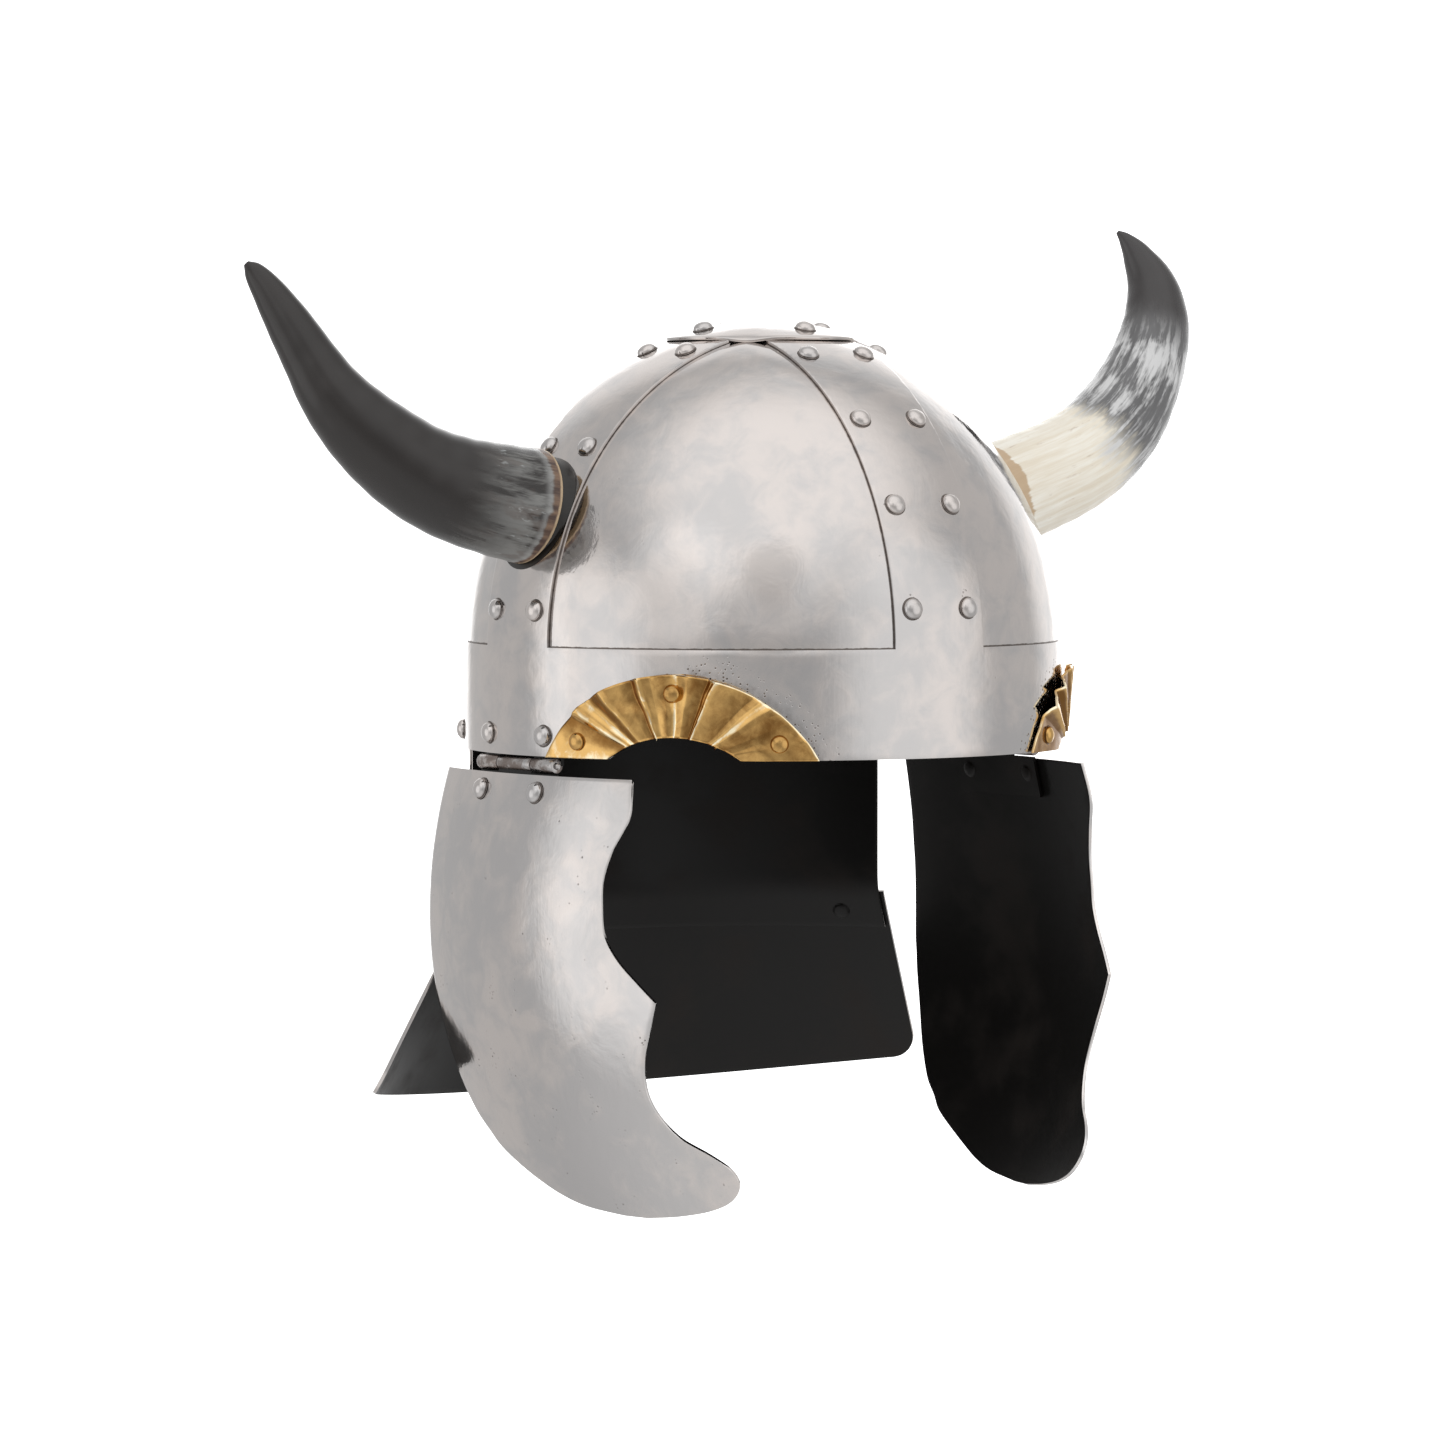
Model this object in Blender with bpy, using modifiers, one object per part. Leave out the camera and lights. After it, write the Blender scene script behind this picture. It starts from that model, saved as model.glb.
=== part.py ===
"""A riveted steel helmet with two horns, hinged cheek plates and a flared neck guard.

Metres, +Z up. The origin is the centre of the head opening, in the plane of the brow band's lower edge.
The face looks along -Y, the wearer's right is -X. A bearing is an angle about Z from the front towards +X.
"""
import math

import bmesh
import bpy
from mathutils import Matrix, Vector

# Sheet metal and the clearances between pieces
SHEET = 0.0012
BRASS_SHEET = 0.0008
SEAT_GAP = 0.0003
HOLE_CLEARANCE = 0.0003
HOLE_CUT_LENGTH = 0.0096

# Dome: brow band, straps and panels
BAND_RADIUS = 0.1075
BAND_HEIGHT = 0.038
DOME_RISE = 0.1133
STRAP_WIDTH = 0.038
PANEL_LAP = 0.012
PANEL_PARTING = 0.008
DISC_RADIUS = 0.035
ROUND_STEPS = 48
DISC_STEPS = 20
DISC_RINGS = 4
EYE_CUT_STEPS = 40
RISE_STEPS = 10

# Rivets
RIVET_RADIUS = 0.0036
RIVET_HEIGHT = 0.0026
RIVET_SHANK = 0.0016
RIVET_BUTTON = 0.0026
RIVET_BUTTON_HEIGHT = 0.0008
RIVET_SIDES = 8
RIVET_RINGS = 1
RIVET_ROUNDING = 0.35
STRAP_RIVET_OFFSET = 0.012
FRONT_RIVET_ANGLES = (7.0, 26.0, 44.5, 64.5)
SIDE_RIVET_ANGLES = (6.5, 38.0, 66.0)
DISC_RIVET_RADIUS = 0.026

# Eye arches in the band, and the brass brow plates over them
EYE_BEARING = 52.1
EYE_HALF_WIDTH = 0.0245
EYE_RISE = 0.0084
BROW_HALF_WIDTH = 0.0505
BROW_RISE = 0.0295
BROW_FLUTES = 11
BROW_FLUTE_HEIGHT = 0.0054
BROW_ROWS = 3
BROW_MIDDLE_SHARE = 0.55
BROW_RIVET_FLAT = 0.14
BROW_RIVET_REACH = 0.85
BROW_RIVET_OUT = 0.65
BROW_RIVET_RADIUS = 0.0031
BROW_RIVET_HEIGHT = 0.0022
BROW_RIVET_INSET = 0.0065

# Horns: the cut end's place off the strap and above the band, the furthest section's, and the plug behind
HORN_STAND_OFF = 0.0036
HORN_BASE_RISE = 0.049
HORN_BASE_X = BAND_RADIUS * math.sqrt(1.0 - (HORN_BASE_RISE / DOME_RISE) ** 2) + HORN_STAND_OFF
HORN_BASE_Z = BAND_HEIGHT + HORN_BASE_RISE
HORN_BASE_RADIUS = 0.0205
HORN_CUT_TILT = 12.0
HORN_SWEEP = 0.0369
HORN_SIDES = 16
PLUG_RADIUS = 0.0186
PLUG_DEPTH = 0.022
RIGHT_HORN_REACH = 0.0927
RIGHT_HORN_RISE = 0.0845
LEFT_HORN_REACH = 0.0992
LEFT_HORN_RISE = 0.1018

# Hinges
HINGE_INSET = 0.0025
HINGE_X = BAND_RADIUS - HINGE_INSET
HINGE_Z = -0.0032
BARREL_RADIUS = 0.0026
PIN_RADIUS = 0.0011
REAR_KNUCKLE = 0.0125
MIDDLE_KNUCKLE = 0.021
FRONT_KNUCKLE = 0.0135
KNUCKLE_GAP = 0.0004
PIN_OVERHANG = 0.0015
LEAF_HEIGHT = 0.018
LEAF_COLUMNS = 4
LEAF_NOTCH_REACH = 0.0104
BARREL_SIDES = 10
LEAF_SEAT_GAP = 0.0006
HINGE_RIVET_SPREAD = 0.0172
UPPER_RIVET_RISE = 0.0104
LOWER_RIVET_DROP = 0.0093

# Cheek plates
CHEEK_TOP = -0.0065
CHEEK_DROP = 0.1537
CHEEK_FRONT = 0.091
CHEEK_REAR = 0.0528
CHEEK_BULGE = 0.0089
CHEEK_BULGE_X = BAND_RADIUS + CHEEK_BULGE
CHEEK_BULGE_Z = -0.0602
CHEEK_DISH_RADIUS = 0.1885
CHEEK_COLUMNS = 7

# Neck guard
NECK_SIDE_CLEARANCE = 0.0008
NECK_LAP = 0.015
NECK_BEND_Z = -0.058
NECK_FLARE = 26.6
NECK_FLANGE = 0.017
NECK_PLATE_START = 0.002
NECK_SIDE_LENGTH = 0.0742
NECK_BACK_LENGTH = 0.087
NECK_CORNER = 0.010
NECK_CORNER_SHARES = (0.1, 0.4)
NECK_ROW_SHARES = (0.0, 0.35, 0.7, 1.0)
NECK_STEPS = 18
NECK_BAND_RIVET_Z = 0.0062
NECK_BAND_RIVET_BEARINGS = (125.0, 180.0, 235.0)
NECK_SEAM_RIVET_BEARINGS = (129.0, 180.0, 231.0)
NECK_SEAM_RIVET_DROP = 0.010

# Sections of each horn from the cut end to the tip: shares of its reach, sweep, rise and base radius
HORN_COLUMNS = ("out", "back", "up", "thick")
RIGHT_HORN_SECTIONS = (
    (0.000, 0.000, 0.000, 1.000),
    (0.148, 0.024, 0.030, 0.965),
    (0.309, 0.076, 0.075, 0.905),
    (0.451, 0.146, 0.143, 0.840),
    (0.575, 0.230, 0.238, 0.770),
    (0.682, 0.331, 0.348, 0.680),
    (0.768, 0.442, 0.471, 0.575),
    (0.831, 0.564, 0.611, 0.475),
    (0.888, 0.699, 0.754, 0.395),
    (0.946, 0.846, 0.893, 0.280),
    (0.982, 0.950, 0.970, 0.175),
    (1.000, 1.000, 1.000, 0.060),
)
LEFT_HORN_SECTIONS = (
    (0.000, 0.000, 0.000, 0.985),
    (0.216, 0.024, 0.067, 0.945),
    (0.387, 0.076, 0.121, 0.930),
    (0.550, 0.146, 0.194, 0.900),
    (0.694, 0.230, 0.292, 0.860),
    (0.812, 0.331, 0.407, 0.780),
    (0.910, 0.442, 0.531, 0.700),
    (0.980, 0.564, 0.664, 0.610),
    (1.000, 0.699, 0.796, 0.475),
    (0.970, 0.846, 0.914, 0.275),
    (0.940, 0.940, 0.975, 0.130),
    (0.922, 1.000, 1.000, 0.040),
)

# Rows of a cheek plate from its top edge down: shares of its drop, of its front reach and of its rear reach
CHEEK_ROWS = (
    (0.000, 0.671, 0.961),
    (0.085, 0.690, 0.980),
    (0.159, 0.636, 0.991),
    (0.224, 0.606, 1.000),
    (0.283, 0.608, 1.000),
    (0.346, 0.623, 1.000),
    (0.401, 0.680, 0.996),
    (0.456, 0.772, 0.987),
    (0.494, 0.838, 0.970),
    (0.548, 0.803, 0.941),
    (0.621, 0.756, 0.880),
    (0.696, 0.735, 0.806),
    (0.751, 0.759, 0.732),
    (0.802, 0.826, 0.639),
    (0.837, 0.925, 0.537),
    (0.869, 0.990, 0.449),
    (0.904, 1.000, 0.281),
    (0.943, 0.945, 0.051),
    (0.971, 0.832, -0.155),
    (0.990, 0.676, -0.389),
    (1.000, 0.530, -0.710),
)

# Looks: colour, roughness, metallic
STEEL = ("polished_steel", (0.62, 0.60, 0.58, 1.0), 0.28, 1.0)
BRASS = ("aged_brass", (0.62, 0.42, 0.14, 1.0), 0.30, 1.0)
BLACK_PAINT = ("black_paint", (0.015, 0.014, 0.014, 1.0), 0.55, 0.0)
DARK_HORN = ("dark_horn", (0.035, 0.030, 0.028, 1.0), 0.30, 0.0)
PALE_HORN = ("pale_horn", (0.50, 0.43, 0.34, 1.0), 0.35, 0.0)
PLUG_STAIN = ("stained_plug", (0.02, 0.018, 0.017, 1.0), 0.60, 0.0)

SIDES = (("right", -1.0), ("left", 1.0))


def clear_scene():
    """Start from an empty scene with one collection for the parts and one for the cutters."""
    for item in list(bpy.data.objects):
        bpy.data.objects.remove(item, do_unlink=True)
    parts = bpy.data.collections.new("viking_helmet")
    cutters = bpy.data.collections.new("cutters")
    bpy.context.scene.collection.children.link(parts)
    bpy.context.scene.collection.children.link(cutters)
    return parts, cutters


def make_material(name, look):
    """A Principled material of the piece's own."""
    material = bpy.data.materials.new(name + "_" + look[0])
    material.use_nodes = True
    shader = material.node_tree.nodes["Principled BSDF"]
    shader.inputs["Base Color"].default_value = look[1]
    shader.inputs["Roughness"].default_value = look[2]
    shader.inputs["Metallic"].default_value = look[3]
    return material


def make_object(name, mesh_builder, collection, look=None):
    """Turn a bmesh into a linked object; a cutter has no look."""
    mesh = bpy.data.meshes.new(name)
    mesh_builder.to_mesh(mesh)
    mesh_builder.free()
    item = bpy.data.objects.new(name, mesh)
    collection.objects.link(item)
    if look is None:
        item.hide_render = True
        item.display_type = "WIRE"
    else:
        mesh.materials.append(make_material(name, look))
        mesh.shade_smooth()
        mesh.set_sharp_from_angle(angle=math.radians(30.0))
    return item


def add_boolean(item, tool, operation):
    """Cut, join or intersect with another object, with the exact solver."""
    modifier = item.modifiers.new(operation.lower() + "_" + tool.name, "BOOLEAN")
    modifier.operation = operation
    modifier.solver = "EXACT"
    modifier.object = tool


def add_solidify(item, thickness):
    """Give a surface its sheet thickness, half to each side."""
    modifier = item.modifiers.new("sheet", "SOLIDIFY")
    modifier.thickness = thickness
    modifier.offset = 0.0
    modifier.use_even_offset = True


def add_screw(item, steps, angle=math.tau):
    """Turn a profile about the object's own Z axis."""
    modifier = item.modifiers.new("turn", "SCREW")
    modifier.axis = "Z"
    modifier.angle = angle
    modifier.steps = steps
    modifier.render_steps = steps
    modifier.use_merge_vertices = True
    modifier.merge_threshold = 0.00001
    modifier.use_smooth_shade = True


def direction(bearing):
    """Unit vector at a bearing in degrees, from the front towards +X."""
    angle = math.radians(bearing)
    return Vector((math.sin(angle), -math.cos(angle), 0.0))


def profile_builder(points, bearing=90.0):
    """A chain of edges through (radius, height) points, in the upright plane at a bearing."""
    builder = bmesh.new()
    ray = direction(bearing)
    row = [builder.verts.new(ray * radius + Vector((0.0, 0.0, height))) for radius, height in points]
    for first, second in zip(row, row[1:]):
        builder.edges.new((first, second))
    return builder


def loft_builder(rows, closed_rows=False):
    """Faces between neighbouring rows of points; closed rows are rings and get end caps."""
    builder = bmesh.new()
    lines = [[builder.verts.new(point) for point in row] for row in rows]
    for low, high in zip(lines, lines[1:]):
        count = len(low)
        last = count if closed_rows else count - 1
        for index in range(last):
            after = (index + 1) % count
            builder.faces.new((low[index], low[after], high[after], high[index]))
    if closed_rows:
        builder.faces.new(lines[0])
        builder.faces.new(lines[-1])
        bmesh.ops.recalc_face_normals(builder, faces=builder.faces)
    return builder


def box_builder(low, high):
    """A box between two corners."""
    builder = bmesh.new()
    bmesh.ops.create_cube(builder, size=1.0)
    size = Vector(high) - Vector(low)
    bmesh.ops.scale(builder, vec=size, verts=builder.verts)
    bmesh.ops.translate(builder, vec=(Vector(low) + Vector(high)) / 2.0, verts=builder.verts)
    return builder


def rod_builder(radius, length, centre, axis, sides):
    """A cylinder of a length along an axis, about its centre."""
    builder = bmesh.new()
    bmesh.ops.create_cone(builder, cap_ends=True, segments=sides, radius1=radius, radius2=radius, depth=length)
    turn = Vector((0.0, 0.0, 1.0)).rotation_difference(Vector(axis)).to_matrix().to_4x4()
    bmesh.ops.transform(builder, matrix=Matrix.Translation(centre) @ turn, verts=builder.verts)
    return builder


def dome_point(angle, depth):
    """(radius, height) on the dome at an angle above the band's top, a depth under the straps' face."""
    return (
        (BAND_RADIUS - depth) * math.cos(angle),
        BAND_HEIGHT + (DOME_RISE - depth) * math.sin(angle),
    )


def shell_profile(depth, low, start=math.pi / 2.0):
    """The wall's section from the crown down the outer face and back up the inner one."""
    outer = []
    inner = []
    for step in range(RISE_STEPS + 1):
        angle = start * (1.0 - step / RISE_STEPS)
        outer.append(dome_point(angle, depth))
        inner.append(dome_point(angle, depth + SHEET))
    outer[0] = (0.0, outer[0][1])
    inner[0] = (0.0, inner[0][1])
    outer.append((BAND_RADIUS - depth, low))
    inner.append((BAND_RADIUS - depth - SHEET, low))
    return outer + inner[::-1]


def dome_seat(across, angle, bearing, lift=0.0):
    """A point and normal on the straps' face, a distance across the strap at a bearing."""
    lengthwise = direction(bearing)
    sideways = Vector((-lengthwise.y, lengthwise.x, 0.0))
    radius, height = dome_point(math.radians(angle), -lift)
    point = lengthwise * math.sqrt(radius ** 2 - across ** 2) + sideways * across
    point.z = height
    normal = Vector((
        point.x / BAND_RADIUS ** 2,
        point.y / BAND_RADIUS ** 2,
        (height - BAND_HEIGHT) / DOME_RISE ** 2,
    )).normalized()
    return point, normal


def rivet_builder(seat, normal, radius, height, grip=0.0, button=0.0):
    """A round head on a seat; with a grip it has a shank through the sheets and a button behind them."""
    points = [(0.0, height)]
    for ring in range(1, RIVET_RINGS + 1):
        angle = math.pi / 2.0 * ring / (RIVET_RINGS + RIVET_ROUNDING)
        points.append((radius * math.sin(angle), height * math.cos(angle)))
    points.append((radius, 0.0))
    if grip > 0.0:
        points.append((RIVET_SHANK, 0.0))
        points.append((RIVET_SHANK, -grip))
        if button > 0.0:
            points.append((button, -grip))
            points.append((button, -grip - RIVET_BUTTON_HEIGHT))
            points.append((0.0, -grip - RIVET_BUTTON_HEIGHT))
        else:
            points.append((0.0, -grip))
    else:
        points.append((0.0, 0.0))
    builder = profile_builder(points)
    bmesh.ops.spin(
        builder, geom=builder.verts[:] + builder.edges[:], cent=(0.0, 0.0, 0.0), axis=(0.0, 0.0, 1.0),
        angle=math.tau, steps=RIVET_SIDES, use_merge=True,
    )
    bmesh.ops.remove_doubles(builder, verts=builder.verts, dist=0.00001)
    bmesh.ops.recalc_face_normals(builder, faces=builder.faces)
    turn = Vector((0.0, 0.0, 1.0)).rotation_difference(normal).to_matrix().to_4x4()
    bmesh.ops.transform(builder, matrix=Matrix.Translation(seat) @ turn, verts=builder.verts)
    return builder


def circle_through(half_width, rise):
    """Depth of the centre below the chord, and radius, of the arc with this half width and rise."""
    depth = (half_width ** 2 - rise ** 2) / (2.0 * rise)
    return depth, depth + rise


def cut_rivet_hole(item, cutters, seat, normal, name):
    """A clearance hole for a rivet's shank."""
    rod = rod_builder(RIVET_SHANK + HOLE_CLEARANCE, HOLE_CUT_LENGTH, seat, normal, RIVET_SIDES)
    add_boolean(item, make_object(name, rod, cutters), "DIFFERENCE")


def make_frame(parts, cutters):
    """Brow band and four crossing straps in one piece, with the arches over the eyes."""
    frame = make_object("dome_frame", profile_builder(shell_profile(0.0, 0.0)), parts, STEEL)
    add_screw(frame, ROUND_STEPS)
    near = STRAP_WIDTH / 2.0
    far = 2.0 * BAND_RADIUS
    top = BAND_HEIGHT + 2.0 * DOME_RISE
    for x_side in (-1.0, 1.0):
        for y_side in (-1.0, 1.0):
            low = (min(x_side * near, x_side * far), min(y_side * near, y_side * far), BAND_HEIGHT)
            high = (max(x_side * near, x_side * far), max(y_side * near, y_side * far), top)
            window = make_object("window_cutter", box_builder(low, high), cutters)
            add_boolean(frame, window, "DIFFERENCE")
    depth, radius = circle_through(EYE_HALF_WIDTH, EYE_RISE)
    for name, side in SIDES:
        ray = direction(side * EYE_BEARING)
        centre = ray * BAND_RADIUS - Vector((0.0, 0.0, depth))
        arch = make_object("eye_cutter_" + name, rod_builder(radius, BAND_HEIGHT, centre, ray, EYE_CUT_STEPS), cutters)
        add_boolean(frame, arch, "DIFFERENCE")
    for index, bearing in enumerate(NECK_BAND_RIVET_BEARINGS):
        seat, normal = band_seat(bearing, NECK_BAND_RIVET_Z)
        cut_rivet_hole(frame, cutters, seat, normal, "neck_hole_cutter_%d" % index)
    for name, side in SIDES:
        for index, along in enumerate((-1.0, 1.0)):
            seat, normal = upper_hinge_seat(side, along)
            cut_rivet_hole(frame, cutters, seat, normal, "hinge_hole_cutter_%s_%d" % (name, index))
    return frame


def band_seat(bearing, height):
    """A point and normal on the band's outer face."""
    normal = direction(bearing)
    return normal * BAND_RADIUS + Vector((0.0, 0.0, height)), normal


def upper_hinge_seat(side, along):
    """Where a rivet of the upper leaf comes out of the band."""
    bearing = 90.0 + math.degrees(along * HINGE_RIVET_SPREAD / BAND_RADIUS)
    return band_seat(side * bearing, HINGE_Z + UPPER_RIVET_RISE)


def make_panels(parts, cutters):
    """Four quarter panels behind the frame, which meet under the straps."""
    depth = SHEET + SEAT_GAP
    near = PANEL_PARTING / 2.0
    far = 2.0 * BAND_RADIUS
    top = BAND_HEIGHT + 2.0 * DOME_RISE
    quarters = (
        ("front_right", -1.0, -1.0), ("front_left", 1.0, -1.0),
        ("rear_right", -1.0, 1.0), ("rear_left", 1.0, 1.0),
    )
    for name, x_side, y_side in quarters:
        profile = profile_builder(shell_profile(depth, BAND_HEIGHT - PANEL_LAP))
        panel = make_object("dome_panel_" + name, profile, parts, STEEL)
        add_screw(panel, ROUND_STEPS)
        low = (min(x_side * near, x_side * far), min(y_side * near, y_side * far), 0.0)
        high = (max(x_side * near, x_side * far), max(y_side * near, y_side * far), top)
        quarter = make_object("quarter_cutter_" + name, box_builder(low, high), cutters)
        add_boolean(panel, quarter, "INTERSECT")


def make_crown_disc(parts):
    """The dished disc over the crossing of the straps."""
    lift = SEAT_GAP + SHEET
    rim = math.acos(DISC_RADIUS / (BAND_RADIUS + lift))
    outer = []
    inner = []
    for step in range(DISC_RINGS + 1):
        angle = math.pi / 2.0 + (rim - math.pi / 2.0) * step / DISC_RINGS
        outer.append(dome_point(angle, -lift))
        inner.append(dome_point(angle, -SEAT_GAP))
    outer[0] = (0.0, outer[0][1])
    inner[0] = (0.0, inner[0][1])
    disc = make_object("crown_disc", profile_builder(outer + inner[::-1]), parts, STEEL)
    add_screw(disc, DISC_STEPS)


def make_strap_rivets(parts):
    """Pairs of rivets up each strap, and four on the crown disc."""
    straps = (
        ("front", 0.0, FRONT_RIVET_ANGLES), ("rear", 180.0, FRONT_RIVET_ANGLES),
        ("right", -90.0, SIDE_RIVET_ANGLES), ("left", 90.0, SIDE_RIVET_ANGLES),
    )
    for name, bearing, angles in straps:
        for level, angle in enumerate(angles):
            for column, across in enumerate((-STRAP_RIVET_OFFSET, STRAP_RIVET_OFFSET)):
                point, normal = dome_seat(across, angle, bearing)
                builder = rivet_builder(point + normal * SEAT_GAP, normal, RIVET_RADIUS, RIVET_HEIGHT)
                make_object("rivet_%s_%d_%d" % (name, level, column), builder, parts, STEEL)
        lift = SEAT_GAP + SHEET
        angle = math.degrees(math.acos(DISC_RIVET_RADIUS / (BAND_RADIUS + lift)))
        point, normal = dome_seat(0.0, angle, bearing, lift)
        builder = rivet_builder(point + normal * SEAT_GAP, normal, RIVET_RADIUS, RIVET_HEIGHT)
        make_object("rivet_disc_" + name, builder, parts, STEEL)


def brow_point(side, share, out_share, lift):
    """A point over the band: share runs along the arc from -1 to 1, out_share from the inner arc out."""
    inner_depth, inner_radius = circle_through(EYE_HALF_WIDTH, EYE_RISE)
    outer_depth, outer_radius = circle_through(BROW_HALF_WIDTH, BROW_RISE)
    inner_angle = share * math.acos(inner_depth / inner_radius)
    outer_angle = share * math.acos(outer_depth / outer_radius)
    along = (1.0 - out_share) * inner_radius * math.sin(inner_angle) + out_share * outer_radius * math.sin(outer_angle)
    inner_height = inner_radius * math.cos(inner_angle) - inner_depth
    outer_height = outer_radius * math.cos(outer_angle) - outer_depth
    height = (1.0 - out_share) * inner_height + out_share * outer_height
    bearing = side * EYE_BEARING + math.degrees(along / BAND_RADIUS)
    return direction(bearing) * (BAND_RADIUS + lift) + Vector((0.0, 0.0, height))


def brow_rivet_seats():
    """Places of a brow plate's three rivets, as shares along the arc and outwards."""
    band_width = BROW_RISE - EYE_RISE
    middle = 1.0 - BROW_RIVET_INSET / band_width
    return ((-BROW_RIVET_REACH, BROW_RIVET_OUT), (0.0, middle), (BROW_RIVET_REACH, BROW_RIVET_OUT))


def make_brow_plates(parts, cutters):
    """Fluted brass arches on the band, with their rivet heads."""
    seat_lift = SEAT_GAP + BRASS_SHEET / 2.0
    columns = 2 * BROW_FLUTES
    for name, side in SIDES:
        rows = []
        for column in range(columns + 1):
            share = 2.0 * column / columns - 1.0
            wave = 0.5 - 0.5 * math.cos(math.tau * BROW_FLUTES * (share + 1.0) / 2.0)
            near_rivet = min(abs(share - place) for place, _ in brow_rivet_seats())
            fade = min(1.0, near_rivet / BROW_RIVET_FLAT)
            row = []
            for step in range(BROW_ROWS):
                out_share = step / (BROW_ROWS - 1)
                edge = BROW_MIDDLE_SHARE + (1.0 - BROW_MIDDLE_SHARE) * (2.0 * out_share - 1.0) ** 2
                row.append(brow_point(side, share, out_share, seat_lift + BROW_FLUTE_HEIGHT * wave * fade * edge))
            rows.append(row)
        plate = make_object("brow_plate_" + name, loft_builder(rows), parts, BRASS)
        add_solidify(plate, BRASS_SHEET)
        for index, (share, out_share) in enumerate(brow_rivet_seats()):
            seat = brow_point(side, share, out_share, seat_lift)
            normal = Vector((seat.x, seat.y, 0.0)).normalized()
            head = rivet_builder(seat, normal, BROW_RIVET_RADIUS, BROW_RIVET_HEIGHT)
            add_boolean(plate, make_object("brow_rivet_%s_%d" % (name, index), head, cutters), "UNION")


def horn_sections(side, reach, rise, table):
    """Centre and radius of each section of a horn, from the cut end to the tip."""
    sections = []
    for row in table:
        share = dict(zip(HORN_COLUMNS, row))
        centre = Vector((
            side * (HORN_BASE_X + reach * share["out"]),
            HORN_SWEEP * share["back"],
            HORN_BASE_Z + rise * share["up"],
        ))
        sections.append((centre, HORN_BASE_RADIUS * share["thick"]))
    return sections


def horn_axis(side):
    """The direction in which a horn leaves its cut end."""
    tilt = math.radians(HORN_CUT_TILT)
    return Vector((side * math.cos(tilt), 0.0, math.sin(tilt)))


def make_horn(name, side, reach, rise, table, look, parts):
    """One natural horn, lofted through its sections and closed at both ends."""
    sections = horn_sections(side, reach, rise, table)
    rows = []
    for index, (centre, radius) in enumerate(sections):
        if index == 0:
            tangent = horn_axis(side)
        else:
            after = sections[min(index + 1, len(sections) - 1)][0]
            tangent = (after - sections[index - 1][0]).normalized()
        across = tangent.cross(Vector((0.0, 1.0, 0.0))).normalized()
        along = across.cross(tangent)
        row = []
        for step in range(HORN_SIDES):
            angle = math.tau * step / HORN_SIDES
            row.append(centre + (across * math.cos(angle) + along * math.sin(angle)) * radius)
        rows.append(row)
    make_object("horn_" + name, loft_builder(rows, closed_rows=True), parts, look)


def make_horn_plugs(parts, cutters):
    """The dark plug between each horn's cut end and the strap, shaped to the dome."""
    for name, side in SIDES:
        axis = horn_axis(side)
        start = Vector((side * HORN_BASE_X, 0.0, HORN_BASE_Z)) - axis * SEAT_GAP
        rod = rod_builder(PLUG_RADIUS, PLUG_DEPTH, start - axis * PLUG_DEPTH / 2.0, axis, HORN_SIDES)
        plug = make_object("horn_plug_" + name, rod, parts, PLUG_STAIN)
        hollow = bmesh.new()
        bmesh.ops.create_uvsphere(hollow, u_segments=ROUND_STEPS, v_segments=ROUND_STEPS // 2, radius=1.0)
        wide = BAND_RADIUS + SEAT_GAP
        tall = DOME_RISE + SEAT_GAP
        bmesh.ops.scale(hollow, vec=(wide, wide, tall), verts=hollow.verts)
        bmesh.ops.translate(hollow, vec=(0.0, 0.0, BAND_HEIGHT), verts=hollow.verts)
        add_boolean(plug, make_object("dome_cutter_" + name, hollow, cutters), "DIFFERENCE")


def cheek_depth(y, z):
    """Distance of the cheek plate's outer face from the middle plane, at a place on it."""
    dish = y ** 2 + (z - CHEEK_BULGE_Z) ** 2
    return CHEEK_BULGE_X - dish / (2.0 * CHEEK_DISH_RADIUS)


def cheek_point(side, y, z, depth):
    """A point a depth inside the cheek plate's outer face."""
    return Vector((side * (cheek_depth(y, z) - depth), y, z))


def cheek_rivet_seat(side, along):
    """A point and normal on the cheek plate for a rivet of the lower leaf."""
    y = along * HINGE_RIVET_SPREAD
    z = HINGE_Z - LOWER_RIVET_DROP
    normal = Vector((side, y / CHEEK_DISH_RADIUS, (z - CHEEK_BULGE_Z) / CHEEK_DISH_RADIUS)).normalized()
    return cheek_point(side, y, z, 0.0), normal


def make_pivots(parts):
    """An empty on each hinge's axis, which carries what swings."""
    pivots = {}
    for name, side in SIDES:
        pivot = bpy.data.objects.new("cheek_pivot_" + name, None)
        pivot.location = (side * HINGE_X, 0.0, HINGE_Z)
        parts.objects.link(pivot)
        pivots[name] = pivot
    bpy.context.view_layer.update()
    return pivots


def hang_on(item, pivot):
    """Parent a piece to its pivot and keep its place."""
    item.parent = pivot
    item.matrix_parent_inverse = pivot.matrix_world.inverted()


def make_cheek_plates(parts, cutters, pivots):
    """The dished cheek plates with their chin hooks."""
    for name, side in SIDES:
        rows = []
        for drop, front, rear in CHEEK_ROWS:
            z = CHEEK_TOP - CHEEK_DROP * drop
            front_y = -CHEEK_FRONT * front
            rear_y = CHEEK_REAR * rear
            row = []
            for column in range(CHEEK_COLUMNS + 1):
                y = front_y + (rear_y - front_y) * column / CHEEK_COLUMNS
                row.append(cheek_point(side, y, z, SHEET / 2.0))
            rows.append(row)
        plate = make_object("cheek_plate_" + name, loft_builder(rows), parts, STEEL)
        add_solidify(plate, SHEET)
        for index, along in enumerate((-1.0, 1.0)):
            seat, normal = cheek_rivet_seat(side, along)
            cut_rivet_hole(plate, cutters, seat, normal, "cheek_hole_cutter_%s_%d" % (name, index))
        hang_on(plate, pivots[name])


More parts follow.
